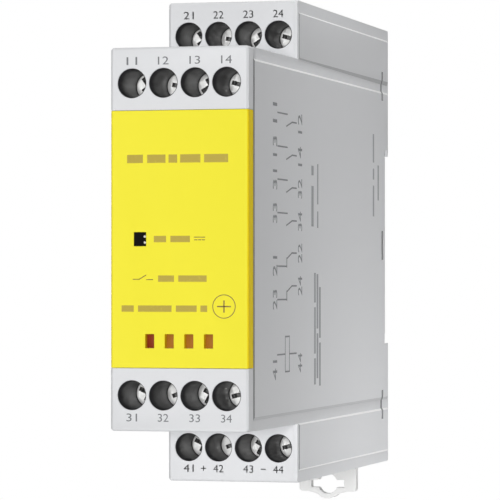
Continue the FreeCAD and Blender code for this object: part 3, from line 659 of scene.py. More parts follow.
def add_block(mesh: bmesh.types.BMesh, low: Iterable[float], high: Iterable[float],
              matrix: Matrix | None = None) -> list[bmesh.types.BMVert]:
    """Add a block between two corners.

    Args:
        mesh: The mesh that it joins.
        low: Its lowest corner.
        high: Its highest corner.
        matrix: Where it goes after it is made.

    Returns:
        Its corners.
    """
    low, high = Vector(low), Vector(high)
    verts = bmesh.ops.create_cube(mesh, size=1.0)["verts"]
    bmesh.ops.scale(mesh, vec=high - low, verts=verts)
    bmesh.ops.translate(mesh, vec=(low + high) / 2, verts=verts)
    if matrix:
        bmesh.ops.transform(mesh, matrix=matrix, verts=verts)
    return verts


def bevel_edges(mesh: bmesh.types.BMesh, edges: Iterable[bmesh.types.BMEdge], width: float) -> None:
    """Round edges over in two steps."""
    bmesh.ops.bevel(mesh, geom=list(edges), offset=width, affect="EDGES", segments=2, profile=0.5,
                    material=-1)


def add_stroke(mesh: bmesh.types.BMesh, start: tuple, end: tuple, width: float) -> None:
    """Add a flat printed line between two points given in millimetres.

    Args:
        mesh: The mesh that it joins, flat in XY.
        start: The first point.
        end: The last point.
        width: The line's width in metres.
    """
    first, last = Vector(start) * MM, Vector(end) * MM
    run = last - first
    half = (run.length + width) / 2
    turn = Matrix.Rotation(math.atan2(run.y, run.x), 4, "Z")
    place = Matrix.Translation(((first + last) / 2).to_3d())
    add_block(mesh, (-half, -width / 2, -PRINT_RISE), (half, width / 2, PRINT_RISE), place @ turn)


def add_strokes(mesh: bmesh.types.BMesh, strokes: Iterable[tuple], width: float, rise: float = 0.0) -> None:
    """Add flat printed lines.

    Args:
        mesh: The mesh that they join, flat in XY.
        strokes: The first and last point of each in millimetres.
        width: Their width in metres.
        rise: How far up they are moved, in millimetres.
    """
    for (left, low), (right, high) in strokes:
        add_stroke(mesh, (left, rise + low), (right, rise + high), width)


def add_turned(mesh: bmesh.types.BMesh, corners: Iterable[tuple], axis: tuple,
               steps: int) -> list[bmesh.types.BMVert]:
    """Add a closed outline turned a full round about an axis through the origin.

    Args:
        mesh: The mesh that it joins.
        corners: The corners of the outline in metres.
        axis: The axis.
        steps: The number of steps round.

    Returns:
        Its points.
    """
    verts = [mesh.verts.new(corner) for corner in corners]
    edges = [mesh.edges.new(pair) for pair in zip(verts, verts[1:] + verts[:1])]
    bmesh.ops.spin(mesh, geom=verts + edges, cent=(0, 0, 0), axis=axis, angle=math.tau, steps=steps,
                   use_merge=True)
    return list(linked(verts))


def add_ring(mesh: bmesh.types.BMesh, centre: tuple, radius: float, width: float) -> None:
    """Add a flat printed ring.

    Args:
        mesh: The mesh that it joins, flat in XY.
        centre: Its centre in millimetres.
        radius: Its middle radius in metres.
        width: The line's width in metres.
    """
    corners = [(radius + across * width / 2, 0.0, up * PRINT_RISE)
               for across, up in ((-1, -1), (1, -1), (1, 1), (-1, 1))]
    verts = add_turned(mesh, corners, UP, RING_STEPS)
    bmesh.ops.translate(mesh, vec=(centre[0] * MM, centre[1] * MM, 0.0), verts=verts)


def linked(verts: Iterable[bmesh.types.BMVert]) -> set[bmesh.types.BMVert]:
    """Give the points that edges join to some points, and those points if they still exist."""
    found: set[bmesh.types.BMVert] = set()
    waiting = [vert for vert in verts if vert.is_valid]
    while waiting:
        vert = waiting.pop()
        if vert in found:
            continue
        found.add(vert)
        waiting.extend(edge.other_vert(vert) for edge in vert.link_edges)
    return found


def add_words(mesh: bmesh.types.BMesh, words: str, centre: tuple, height: float, width: float,
              turned: bool = False) -> None:
    """Add a number or sign as raised flat print.

    Args:
        mesh: The mesh that it joins, flat in XY.
        words: What it says.
        centre: Its centre in millimetres.
        height: The height of its figures in metres.
        width: The length of the words in metres.
        turned: Whether it reads upwards.
    """
    curve = bpy.data.curves.new("words", "FONT")
    curve.body = words
    curve.extrude = PRINT_RISE
    curve.resolution_u = 3
    holder = bpy.data.objects.new("words", curve)
    data = bpy.data.meshes.new_from_object(holder)
    lows = [min(vert.co[axis] for vert in data.vertices) for axis in range(2)]
    highs = [max(vert.co[axis] for vert in data.vertices) for axis in range(2)]
    fit = Matrix.Diagonal((width / (highs[0] - lows[0]), height / (highs[1] - lows[1]), 1.0, 1.0))
    home = Matrix.Translation((-(lows[0] + highs[0]) / 2, -(lows[1] + highs[1]) / 2, 0.0))
    turn = Matrix.Rotation(math.pi / 2 if turned else 0.0, 4, "Z")
    data.transform(Matrix.Translation((centre[0] * MM, centre[1] * MM, 0.0)) @ turn @ fit @ home)
    mesh.from_mesh(data)
    bpy.data.objects.remove(holder)
    bpy.data.curves.remove(curve)
    bpy.data.meshes.remove(data)


def lay_on(piece: Piece, face: Face, level: float) -> bpy.types.Object:
    """Lay flat print on an outer face of the case.

    Args:
        piece: The print, flat in XY about the case's own origin.
        face: The face that it goes on.
        level: The face's place along its own axis, in metres.

    Returns:
        The object.
    """
    bmesh.ops.remove_doubles(piece.mesh, verts=piece.mesh.verts, dist=MERGE_REACH)
    out = Vector(face.value[2])
    origin = out * (abs(level) - PRINT_RISE)
    bmesh.ops.transform(piece.mesh, matrix=face.place(origin), verts=piece.mesh.verts)
    return piece.done()


def draw_in(axis: int, level: float, toward: float) -> Callable[[bmesh.types.BMesh], None]:
    """Give a change that draws an outer face in by the thickness of its print.

    Args:
        axis: The face's axis: 0, 1 or 2.
        level: The face's place.
        toward: 1 or -1, the way in.

    Returns:
        The change.
    """
    def change(mesh: bmesh.types.BMesh) -> None:
        """Draw the face in."""
        chosen = [vert for vert in mesh.verts if abs(vert.co[axis] - level) < SEEN_REACH]
        step = Vector((0.0, 0.0, 0.0))
        step[axis] = SKIN_DRAW * toward
        bmesh.ops.translate(mesh, vec=step, verts=chosen)

    return change


def marks(mesh: bmesh.types.BMesh, name: str) -> bmesh.types.BMLayerItem:
    """Give a mesh's layer of marks, made the first time it is asked for."""
    layers = mesh.faces.layers.float
    return layers.get(name) or layers.new(name)


# Sub-assemblies -------------------------------------------------------------------------


@dataclass(frozen=True)
class FieldEdge:
    """An edge of the cover's raised fields, in millimetres, and the painted highlight or painted shade on
    its step.

    The step looks up or down, as facing is 1 or -1, and its foot is moved up by shift.
    """

    height: float
    shift: float
    facing: int
    # The painted highlight and painted shade on the step.
    rubbed: float = 0.0
    dusty: float = 0.0


@dataclass
class Case:
    """The grey case, its side cover and what is printed on the cover."""

    seam: float = 0.8 * MM
    seam_band: float = 1.2 * MM
    near: float = 0.05 * MM
    side_slope: float = 0.3
    step_slope: float = 0.95
    field_rise: float = 0.25 * MM
    # The steps' painted highlight and painted shade.
    field_edges: tuple[FieldEdge, ...] = (
        FieldEdge(37.9, 0.15, 1, rubbed=1.0), FieldEdge(30.15, -0.5, -1, dusty=0.62),
        FieldEdge(28.15, 0.15, 1, rubbed=1.0), FieldEdge(-28.15, -0.3, -1, dusty=0.4),
        FieldEdge(-30.15, 0.15, 1, rubbed=1.0), FieldEdge(-37.9, -0.15, -1, rubbed=1.0))
    step_reach: float = 0.3 * MM
    foot_band: tuple = (-0.01 * MM, 0.07 * MM)
    tier_edge_height: float = 29.0
    tier_margin: float = 0.5 * MM
    window_place: float = -2.1 * MM
    window_half: tuple = (0.663 * MM, 2.703 * MM)
    window_heights: tuple = (-29.3 * MM, 0.0, 29.3 * MM)
    hook_drop: float = 0.6 * MM
    # How dark the painted shade on the snap hooks is.
    hook_shade_factor: float = 0.85
    line: float = 0.24 * MM
    stop_line: float = 0.384 * MM
    figure_width: float = 3.2 * MM
    figure_height: float = 2.6 * MM
    figure_places: tuple = (-79.05, -62.95)
    closing_strokes: tuple = (
        ((-77.4, 0.0), (-71.2, 0.0)), ((-71.8, -1.95), (-68.1, -1.15)), ((-68.1, -1.15), (-65.3, -1.15)))
    closing_ends: tuple = (-0.1, -1.15)
    closing: tuple = (
        (20.6, ("11", "12")), (15.2, ("13", "14")), (9.85, ("31", "32")), (4.45, ("33", "34")))
    opening_strokes: tuple = (((-65.3, 0.0), (-68.3, 0.0)), ((-68.3, 0.0), (-71.6, -0.95)))
    opening_stop: tuple = (((-71.6, -0.95), (-71.6, -2.2)),)
    opening_tail: tuple = (((-71.6, -2.2), (-77.5, -2.2)),)
    opening_ends: tuple = (-2.2, 0.0)
    opening: tuple = ((-1.98, ("21", "22")), (-7.37, ("23", "24")))
    coil_strokes: tuple = (
        ((-72.6, -21.3), (-69.9, -21.3)), ((-69.9, -21.3), (-69.9, -15.6)),
        ((-69.9, -15.6), (-72.6, -15.6)), ((-72.6, -15.6), (-72.6, -21.3)),
        ((-77.6, -18.45), (-72.6, -18.45)), ((-69.9, -18.45), (-65.4, -18.45)))
    coil_ends: tuple = (-20.9, -20.1)
    coil_names: tuple = ("41", "44")
    bars: tuple = (
        (-54.6, 1.5, ((2.6, 9.4), (11.2, 12.8))), (-51.0, 0.8, ((2.4, 5.2), (6.4, 13.2))),
        (-52.9, 1.1, ((-24.0, -19.6), (-18.8, -11.0), (-10.2, -5.2))),
        (-51.2, 1.1, ((-23.0, -15.4), (-14.6, -5.4))), (-49.5, 1.1, ((-24.3, -17.0), (-16.2, -7.6))),
        (-9.4, 1.0, ((5.2, 10.8), (11.9, 13.9), (15.0, 20.2))), (-5.6, 1.0, ((8.2, 14.6),)),
    )

    @cached_property
    def right(self) -> float:
        """Give the place of the case's right side."""
        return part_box("housing_body")[1][0]

    @cached_property
    def tier_front(self) -> float:
        """Give the place of the terminal blocks' front in the rear tier."""
        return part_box("terminal_block_rear_upper")[0][1]

    def build(self) -> None:
        """Make and dress all of it."""
        eased_copy("housing_body", Finish.CASE, "case_grey", adjust=self.shade_hooks)
        eased_copy("side_cover", Finish.COVER, "cover_grey", ease=0.05 * MM, adjust=self.open_seam)
        self.print_circuit()
        self.print_lines()

    def in_window(self, place: Vector) -> bool:
        """Tell whether a point lies within a snap window, seen from the side."""
        across, up = self.window_half
        return abs(place.y - self.window_place) < across and any(
            abs(place.z - height) < up for height in self.window_heights)

    def shade_hooks(self, mesh: bmesh.types.BMesh) -> None:
        """Draw the case's front in by its print, and paint shade on its snap hooks.

        Args:
            mesh: The case's mesh.
        """
        draw_in(1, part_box("housing_body")[0][1], 1.0)(mesh)
        dusty = marks(mesh, SHADE_MARK)
        for face in mesh.faces:
            place = face.calc_center_median()
            # Painted shade on the hooks seen through the snap windows.
            if abs(place.x - self.right + self.hook_drop) < self.near and self.in_window(place):
                face[dusty] = self.hook_shade_factor

    def open_seam(self, mesh: bmesh.types.BMesh) -> None:
        """Draw the cover's face in by its print, open its seam and widen the steps round its fields.

        Args:
            mesh: The cover's mesh.
        """
        low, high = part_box("side_cover")
        draw_in(0, high[0], -1.0)(mesh)
        front = [vert for vert in mesh.verts if vert.co.y < low[1] + self.seam_band]
        bmesh.ops.translate(mesh, vec=(0.0, self.seam, 0.0), verts=front)
        self.mark_cover(mesh)
        below, above = (high[0] - self.field_rise + reach for reach in self.foot_band)
        for step in self.field_edges:
            whole = abs(step.height) < self.tier_edge_height
            foot = [vert for vert in mesh.verts if below < vert.co.x < above
                    and abs(vert.co.z - step.height * MM) < self.near
                    and (whole or vert.co.y > self.tier_front + self.tier_margin)]
            bmesh.ops.translate(mesh, vec=(0.0, 0.0, step.shift * MM), verts=foot)

    def mark_cover(self, mesh: bmesh.types.BMesh) -> None:
        """Paint shade on the walls of the cover's windows and its front-facing slopes, and highlight or
        shade on the steps round its fields.

        Args:
            mesh: The cover's mesh.
        """
        rubbed, dusty = marks(mesh, HIGHLIGHT_MARK), marks(mesh, SHADE_MARK)
        for face in mesh.faces:
            place, normal = face.calc_center_median(), face.normal
            slopes = self.side_slope < normal.x < self.step_slope
            # Painted shade on the window walls, then on the slopes that face the front.
            if abs(normal.x) < self.side_slope and self.in_window(place):
                face[dusty] = 1.0
            elif slopes and abs(normal.z) < self.side_slope:
                face[dusty] = 1.0 if normal.y < 0.0 else 0.0
            # Painted highlight or painted shade on the steps round the fields.
            elif slopes:
                for step in self.field_edges:
                    near = abs(place.z - step.height * MM) < self.step_reach
                    if near and normal.z * step.facing > 0.0:
                        face[rubbed], face[dusty] = step.rubbed, step.dusty

    def print_circuit(self) -> None:
        """Print the circuit on the side cover: contacts, magnet coil and their numbers."""
        piece = Piece("circuit_print", Finish.GREY_INK, "cover_grey")
        for height, names in self.closing:
            add_strokes(piece.mesh, self.closing_strokes, self.line, height)
            self.name_ends(piece.mesh, [height + end for end in self.closing_ends], names)
        for height, names in self.opening:
            add_strokes(piece.mesh, self.opening_strokes, self.line, height)
            add_strokes(piece.mesh, self.opening_stop, self.stop_line, height)
            add_strokes(piece.mesh, self.opening_tail, self.line, height)
            self.name_ends(piece.mesh, [height + end for end in self.opening_ends], names)
        add_strokes(piece.mesh, self.coil_strokes, self.line)
        self.name_ends(piece.mesh, self.coil_ends, self.coil_names)
        lay_on(piece, Face.SIDE, self.right)

    def name_ends(self, mesh: bmesh.types.BMesh, heights: Sequence[float], names: Sequence[str]) -> None:
        """Print the numbers at the two ends of a line of the circuit.

        Args:
            mesh: The print's mesh.
            heights: Their heights in millimetres, at the front end and the rear end.
            names: The numbers at the front and rear ends.
        """
        for y, z, words in zip(self.figure_places, heights, names):
            add_words(mesh, words, (y, z), self.figure_height, self.figure_width, turned=True)

    def print_lines(self) -> None:
        """Print plain bars where such a relay has lines of small print that read upwards."""
        piece = Piece("side_bars", Finish.PALE_INK, "cover_grey")
        for y, width, spans in self.bars:
            for start, end in spans:
                add_stroke(piece.mesh, (y, start + width / 2), (y, end - width / 2), width * MM)
        lay_on(piece, Face.SIDE, self.right)


@dataclass
class FrontPlate:
    """The yellow front plate with its status window, marker slots and print."""

    line: float = 0.13 * MM
    bold: float = 0.208 * MM
    wrap_slope: float = 0.7
    rim: float = 0.12 * MM
    rim_ease: float = 0.1 * MM
    floor_depth: float = 1.0
    floor_thickness: float = 0.18
    floor_gap: float = 0.02
    floor_ease: float = 0.04 * MM
    slot_half: tuple = (0.725, 1.1)
    slot_pitch: float = 3.2
    slot_height: float = -16.0
    slots: int = 4
    contact_strokes: tuple = (
        ((-7.5, -6.3), (-6.5, -6.3)), ((-6.5, -6.3), (-5.4, -5.65)), ((-5.3, -6.35), (-4.3, -6.35)))
    current_stroke: tuple = ((2.5, 0.28), (4.2, 0.28))
    current_dash: tuple = ((2.55, -0.14), (2.95, -0.14))
    dash_pitch: float = 0.62
    ring_place: tuple = (7.33, -10.55)
    ring_radius: float = 1.82 * MM
    ring_cross: tuple = (((6.3, -10.55), (8.35, -10.55)), ((7.33, -11.4), (7.33, -9.7)))
    bars: tuple = (
        (12.6, 1.3, ((-8.5, -5.9), (-5.2, -2.2), (-1.6, -0.4), (0.2, 3.5), (4.1, 8.0))),
        (0.0, 1.0, ((-4.1, -2.1), (-1.4, 1.8))), (-6.2, 1.0, ((-3.4, -0.8), (-0.1, 4.5))),
        (-10.9, 1.0, ((-9.4, -7.4), (-6.7, -1.2), (-0.5, 2.9), (3.5, 4.6))),
    )

    @cached_property
    def face(self) -> float:
        """Give the place of the plate's outer face."""
        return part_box("front_plate")[0][1]

    def build(self) -> None:
        """Make and dress all of it."""
        eased_copy("front_plate", Finish.PLATE, "plate_yellow", adjust=self.mark_wrap)
        self.build_window()
        self.build_floors()
        self.print_signs()
        self.print_bars()

    def mark_wrap(self, mesh: bmesh.types.BMesh) -> None:
        """Draw the plate's face in by its print, and mark its side faces for a painted side tone.

        Args:
            mesh: The plate's mesh.
        """
        draw_in(1, self.face, 1.0)(mesh)
        wrapped = marks(mesh, SIDE_TONE_MARK)
        for face in mesh.faces:
            # Painted side tone on the faces that look sideways.
            face[wrapped] = 1.0 if abs(face.normal.x) > self.wrap_slope else 0.0

    def build_window(self) -> None:
        """Make the status window: a pipe with a crowned, eased end."""
        low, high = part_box("status_window")
        piece = Piece("status_window_lens", Finish.WINDOW, "window_dark", stands_for=("status_window",))
        verts = add_block(piece.mesh, low, high)
        front = [vert for vert in verts if vert.co.y < low[1] + SEEN_REACH]
        faces = [face for face in piece.mesh.faces if all(vert in front for vert in face.verts)]
        bmesh.ops.inset_region(piece.mesh, faces=faces, thickness=self.rim, depth=0.0)
        edges = [edge for edge in piece.mesh.edges if all(vert in front for vert in edge.verts)]
        bevel_edges(piece.mesh, edges, self.rim_ease)
        piece.done()

    def build_floors(self) -> None:
        """Make the strips that close the marker slots, painted with the slots' shade."""
        piece = Piece("marker_floors", Finish.CASE, "plate_yellow")
        across, up = (half - self.floor_gap for half in self.slot_half)
        front = self.face / MM + self.floor_depth
        for step in range(self.slots):
            x = self.slot_pitch * (step - (self.slots - 1) / 2)
            start = Vector((x - across, front, self.slot_height - up))
            end = Vector((x + across, front + self.floor_thickness, self.slot_height + up))
            verts = add_block(piece.mesh, start * MM, end * MM)
            edges = {edge for vert in verts for edge in vert.link_edges}
            bevel_edges(piece.mesh, edges, self.floor_ease)
        item = piece.done()
        low, high = (self.slot_height + self.slot_half[1] * way for way in (-1, 1))
        # Painted shade on the strips, lighter towards their feet.
        item.data.materials[0] = SlotShadeFloor(low * MM, high * MM, -self.slot_pitch * MM).build()

    def print_signs(self) -> None:
        """Print plain signs: a contact, direct current, and a ring with a cross."""
        piece = Piece("plate_print", Finish.BROWN_INK, "plate_yellow")
        add_strokes(piece.mesh, (*self.contact_strokes, self.current_stroke), self.line)
        (left, low), (right, high) = self.current_dash
        for shift in (self.dash_pitch * step for step in range(3)):
            add_stroke(piece.mesh, (left + shift, low), (right + shift, high), self.line)
        add_ring(piece.mesh, self.ring_place, self.ring_radius, self.line)
        add_strokes(piece.mesh, self.ring_cross, self.bold)
        lay_on(piece, Face.FRONT, self.face)

    def print_bars(self) -> None:
        """Print plain bars where such a plate has its lines of small print."""
        piece = Piece("plate_bars", Finish.OCHRE_INK, "plate_yellow")
        for z, height, spans in self.bars:
            for start, end in spans:
                add_stroke(piece.mesh, (start + height / 2, z), (end - height / 2, z), height * MM)
        lay_on(piece, Face.FRONT, self.face)


@dataclass
class TerminalRow:
    """A row of terminals: block, sleeves, screws, clamp cages, bars and numbers."""

    row: str
    numbers: tuple[str, ...]
    first_turn: float
    signs: tuple[tuple[float, str], ...] = ()
    next_turn: float = 47.0
    sleeve_outer: float = 2.34 * MM
    sleeve_inner: float = 2.21 * MM
    sleeve_start: float = 0.12 * MM
    sleeve_rim: float = 0.16 * MM
    rim_shares: tuple = (0.4, 0.3)
    round_steps: int = 64
    sleeve_land: tuple = (2.0 * MM, 1.2 * MM)
    sleeve_draft: float = 0.04 * MM
    sleeve_steps: tuple = (0.0, 0.2, 0.3, 0.4, 0.5, 0.6, 0.8, 1.0)
    bore_shade: tuple = (0.20, 0.35)
    head_radius: float = 2.14 * MM
    head_steps: int = 48
    head_height: float = 2.7 * MM
    head_rise: float = 0.7 * MM
    head_flat: float = 0.95
    head_profile: tuple = ((0.98, 0.03), (0.995, 0.09), (1.0, 0.18), (1.0, 2.64), (0.97, 2.7), (0.60, 2.7))
    slot_half: float = 0.36 * MM
    slot_reach: float = 1.782 * MM
    slot_depth: float = 0.85 * MM
    slot_draft: float = 0.94
    cross_reach: float = 1.35 * MM
    cross_depth: float = 1.25 * MM
    shank_radius: float = 1.18 * MM
    shank_steps: int = 16
    core_shares: tuple = (0.72, 0.99)
    core_steps: int = 24
    thread_rise: float = 0.15 * MM
    thread_pitch: float = 0.5 * MM
    thread_flat: tuple = (0.42, 0.58)
    thread_start: float = 0.2
    thread_spare: float = 1.6
    number_height: float = 1.25 * MM
    number_width: float = 1.75 * MM
    number_drop: float = 3.5
    sign_half: float = 0.36
    sign_line: float = 0.15 * MM

    @cached_property
    def face(self) -> float:
        """Give the place of the outer face that the row's wells open in."""
        depths = [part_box(f"terminal_screw_{row}_1")[0][1] for row in (self.row, "front_upper")]
        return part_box("front_plate")[0][1] + depths[0] - depths[1]

    def build(self) -> None:
        """Make and dress all of it."""
        eased_copy(f"terminal_block_{self.row}", Finish.BLOCK, "block_dark", ease=0.06 * MM)
        dress(Finish.TIN, f"contact_bars_{self.row}")
        for number in TERMINALS:
            self.build_screw(number)
            eased_copy(f"clamp_cage_{self.row}_{number}", Finish.ZINC, "cage_zinc",
                       f"cage_{self.row}_{number}", 0.12 * MM)
        self.build_sleeves()
        self.print_numbers()

    def screw_place(self, number: int) -> Vector:
        """Give the middle of a screw's outer face."""
        node = f"terminal_screw_{self.row}_{number}"
        place = middle(node)
        place.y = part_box(node)[0][1]
        return place

    def build_screw(self, number: int) -> None:
        """Make a screw: domed edge, slot and cross in its head, and a threaded shank.

        Args:
            number: Its place in the row, from 1.
        """
        node = f"terminal_screw_{self.row}_{number}"
        low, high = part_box(node)
        piece = Piece(f"{node}_turned", Finish.NICKEL, "screw_nickel", f"screw_{self.row}_{number}", (node,))
        self.add_head(piece.mesh)
        self.add_shank(piece.mesh, high[1] - low[1] + self.head_rise)
        turn = math.radians(self.first_turn + self.next_turn * (number - 1))
        stand = Matrix.Rotation(math.pi / 2, 4, "X")
        place = self.screw_place(number) - Vector((0.0, self.head_rise, 0.0))
        matrix = Matrix.Translation(place) @ Matrix.Rotation(turn, 4, "Y") @ stand
        bmesh.ops.transform(piece.mesh, matrix=matrix, verts=piece.mesh.verts)
        piece.done()

    def add_head(self, mesh: bmesh.types.BMesh) -> None:
        """Add the head, with its outer face at the origin and its body along -Z."""
        before = self.head_flat
        made = bmesh.ops.create_circle(mesh, cap_ends=True, radius=self.head_radius * before,
                                       segments=self.head_steps)
        rim = [edge for edge in mesh.edges if all(vert in made["verts"] for vert in edge.verts)]
        for share, drop in self.head_profile:
            made = bmesh.ops.extrude_edge_only(mesh, edges=rim)
            verts = made_verts(made)
            rim = [item for item in made["geom"] if isinstance(item, bmesh.types.BMEdge)
                   and all(vert in verts for vert in item.verts)]
            bmesh.ops.scale(mesh, vec=(share / before, share / before, 1.0), verts=verts)
            bmesh.ops.translate(mesh, vec=(0.0, 0.0, -drop * MM - verts[0].co.z), verts=verts)
            before = share
        bmesh.ops.holes_fill(mesh, edges=rim, sides=0)
        self.sink(mesh)

    def sink(self, mesh: bmesh.types.BMesh) -> None:
        """Sink the slot and the cross into the head's outer face, and mark their faces for painted shade.

        Args:
            mesh: The head's mesh.
        """
        recessed = marks(mesh, RECESS_SHADE_MARK)
        half, reach, cross = self.slot_half, self.slot_reach, self.cross_reach
        for axis, place in ((1, half), (1, -half), (0, half), (0, -half), (0, cross), (0, -cross),
                            (1, cross), (1, -cross), (0, reach), (0, -reach)):
            flat = [face for face in mesh.faces if abs(face.calc_center_median().z) < FLAT_REACH]
            geometry = list({item for face in flat for item in (*face.verts, *face.edges, face)})
            normal = Vector((1.0, 0.0, 0.0) if axis == 0 else (0.0, 1.0, 0.0))
            bmesh.ops.bisect_plane(mesh, geom=geometry, dist=FLAT_REACH, plane_co=normal * place,
                                   plane_no=normal)

        def inside(face: bmesh.types.BMFace, across: float, up: float) -> bool:
            """Tell whether a flat face lies within a rectangle about the middle."""
            centre = face.calc_center_median()
            return abs(centre.z) < FLAT_REACH and abs(centre.x) < across and abs(centre.y) < up

        slot = [face for face in mesh.faces if inside(face, reach, half) and not inside(face, cross, half)]
        deep = [face for face in mesh.faces if inside(face, cross, half) or inside(face, half, cross)]
        for faces, depth in ((slot, self.slot_depth), (deep, self.cross_depth)):
            verts = made_verts(bmesh.ops.extrude_face_region(mesh, geom=faces))
            bmesh.ops.translate(mesh, vec=(0.0, 0.0, -depth), verts=verts)
            bmesh.ops.scale(mesh, vec=(self.slot_draft, self.slot_draft, 1.0), verts=verts)
            # Painted shade on the faces of the slot and the cross.
            for face in {face for vert in verts for face in vert.link_faces}:
                face[recessed] = 1.0
            bmesh.ops.delete(mesh, geom=[face for face in faces if face.is_valid], context="FACES_ONLY")

    def add_shank(self, mesh: bmesh.types.BMesh, length: float) -> None:
        """Add the threaded shank from the head's under side to the screw's tip.

        Args:
            mesh: The screw's mesh.
            length: The whole screw's length.
        """
        pitch, root = self.thread_pitch, self.shank_radius
        turns = int((length - self.head_height - pitch * self.thread_spare) / pitch)
        crest = root + self.thread_rise
        start = -self.head_height - pitch * self.thread_start
        points = ((root, start), *((crest, start - pitch * share) for share in self.thread_flat),
                  (root, start - pitch))
        verts = [mesh.verts.new((radius, 0.0, z)) for radius, z in points]
        edges = [mesh.edges.new(pair) for pair in zip(verts, verts[1:])]
        bmesh.ops.spin(mesh, geom=verts + edges, cent=(0, 0, 0), axis=UP, angle=math.tau * turns,
                       steps=self.shank_steps * turns, dvec=(0.0, 0.0, -pitch / self.shank_steps),
                       use_merge=False)
        bmesh.ops.remove_doubles(mesh, verts=mesh.verts, dist=MERGE_REACH)
        low, high = (root * share for share in self.core_shares)
        core = bmesh.ops.create_cone(mesh, cap_ends=True, segments=self.core_steps, radius1=low,
                                     radius2=high, depth=length - self.head_height)
        bmesh.ops.translate(mesh, vec=(0.0, 0.0, -(length + self.head_height) / 2), verts=core["verts"])

    def build_sleeves(self) -> None:
        """Make the glossy sleeves that line the four screw wells."""
        piece = Piece(f"well_sleeves_{self.row}", Finish.SLEEVE, "block_dark")
        outer, inner, start, rim = self.sleeve_outer, self.sleeve_inner, self.sleeve_start, self.sleeve_rim
        thin, (low, inward) = outer - self.sleeve_draft, self.rim_shares
        for number in TERMINALS:
            place = self.screw_place(number)
            depth = place.y - self.face + self.head_height - self.head_rise
            bore = [(inner, start + rim + (depth - start - rim) * step) for step in self.sleeve_steps]
            profile = ((outer, start + rim * low), (outer - rim * inward, start), *bore, (thin, depth),
                       (thin, start + self.sleeve_land[0]), (outer, start + self.sleeve_land[1]))
            corners = [(radius, y, 0.0) for radius, y in profile]
            verts = add_turned(piece.mesh, corners, ALONG, self.round_steps)
            bmesh.ops.translate(piece.mesh, vec=(place.x, self.face, place.z), verts=verts)
            self.shade_bore(piece.mesh, place, depth)
        piece.done()

    def shade_bore(self, mesh: bmesh.types.BMesh, place: Vector, depth: float) -> None:
        """Paint shade on the faces of a sleeve's bore, darker the deeper they lie.

        Args:
            mesh: The sleeves' mesh.
            place: The middle of the well's screw.
            depth: The depth of the bore.
        """
        dusty = marks(mesh, SHADE_MARK)
        start, run = self.bore_shade
        for face in mesh.faces:
            centre = face.calc_center_median()
            if math.hypot(centre.x - place.x, centre.z - place.z) < self.sleeve_inner:
                # Painted shade that grows with depth in the well.
                share = (centre.y - self.face) / depth
                face[dusty] = min(1.0, max(0.0, (share - start) / run))

    def print_numbers(self) -> None:
        """Print the terminal numbers above an upper row's wells or below a lower one's."""
        piece = Piece(f"row_numbers_{self.row}", Finish.GREY_INK, "case_grey")
        drop = self.number_drop if self.row.endswith("upper") else -self.number_drop
        centres = [self.screw_place(number) / MM for number in TERMINALS]
        for place, words in zip(centres, self.numbers):
            add_words(piece.mesh, words, (place.x, place.z + drop), self.number_height, self.number_width)
        z, half = centres[0].z + drop, self.sign_half
        for x, sign in self.signs:
            add_stroke(piece.mesh, (x - half, z), (x + half, z), self.sign_line)
            if sign == "+":
                add_stroke(piece.mesh, (x, z - half), (x, z + half), self.sign_line)
        lay_on(piece, Face.FRONT, self.face)


@dataclass
class RailLatch:
    """The sliding latch below the case and its wave spring."""

    def build(self) -> None:
        """Make and dress all of it."""
        eased_copy("rail_latch", Finish.LATCH, "latch_white", "latch", 0.10 * MM)
        dress(Finish.STEEL, "latch_spring")


@dataclass
class ControlBoard:
    """The circuit board with its parts, and the status lamp."""

    def build(self) -> None:
        """Make and dress all of it."""
        dress(Finish.BOARD, "circuit_board")
        dress(Finish.LAMP, "status_led")


@dataclass
class GuidedRelay:
    """The relay: base, clear cover, magnet, contact card and blades."""

    turns: int = 46
    axis_steps: int = 48
    bore_share: float = 0.80
    wire_round: float = 0.12

    def build(self) -> None:
        """Make and dress all of it."""
        eased_copy("relay_base", Finish.RELAY, "relay_black", ease=0.15 * MM)
        eased_copy("relay_cover", Finish.CLEAR, "relay_cover_clear", ease=0.0)
        eased_copy("coil_bobbin", Finish.RELAY, "relay_black", ease=0.10 * MM)
        dress(Finish.IRON, "coil_core")
        eased_copy("yoke", Finish.IRON, "magnet_iron", ease=0.15 * MM)
        eased_copy("armature", Finish.IRON, "magnet_iron", "armature", 0.12 * MM)
        eased_copy("contact_card", Finish.CARD, "card_white", "contact_card", 0.06 * MM)
        for number in range(1, 4):
            eased_copy(f"moving_blades_{number}", Finish.BRONZE, "blade_bronze", f"blades_{number}",
                       0.04 * MM)
        eased_copy("fixed_blades", Finish.BRONZE, "blade_bronze", ease=0.04 * MM)
        self.build_winding()

    def build_winding(self) -> None:
        """Make the winding as a turned stack of wire rounds."""
        low, high = (Vector(corner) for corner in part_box("coil_winding"))
        outer = (high.x - low.x) / 2
        inner = outer * self.bore_share
        pitch = (high.z - low.z) / self.turns
        valley, shoulder = outer - pitch / 2, outer - self.wire_round * pitch
        points = [(inner, low.z), (valley, low.z)]
        for step in range(self.turns):
            start = low.z + pitch * step
            points += [(shoulder, start + 0.25 * pitch), (outer, start + 0.5 * pitch),
                       (shoulder, start + 0.75 * pitch), (valley, start + pitch)]
        points.append((inner, high.z))
        piece = Piece("wire_turns", Finish.WIRE, "winding_copper", stands_for=("coil_winding",),
                      smooth_angle=60.0)
        verts = add_turned(piece.mesh, [(radius, 0.0, z) for radius, z in points], UP, self.axis_steps)
        centre = (low + high) / 2
        bmesh.ops.translate(piece.mesh, vec=(centre.x, centre.y, 0.0), verts=verts)
        piece.done()


# Studio ---------------------------------------------------------------------------------


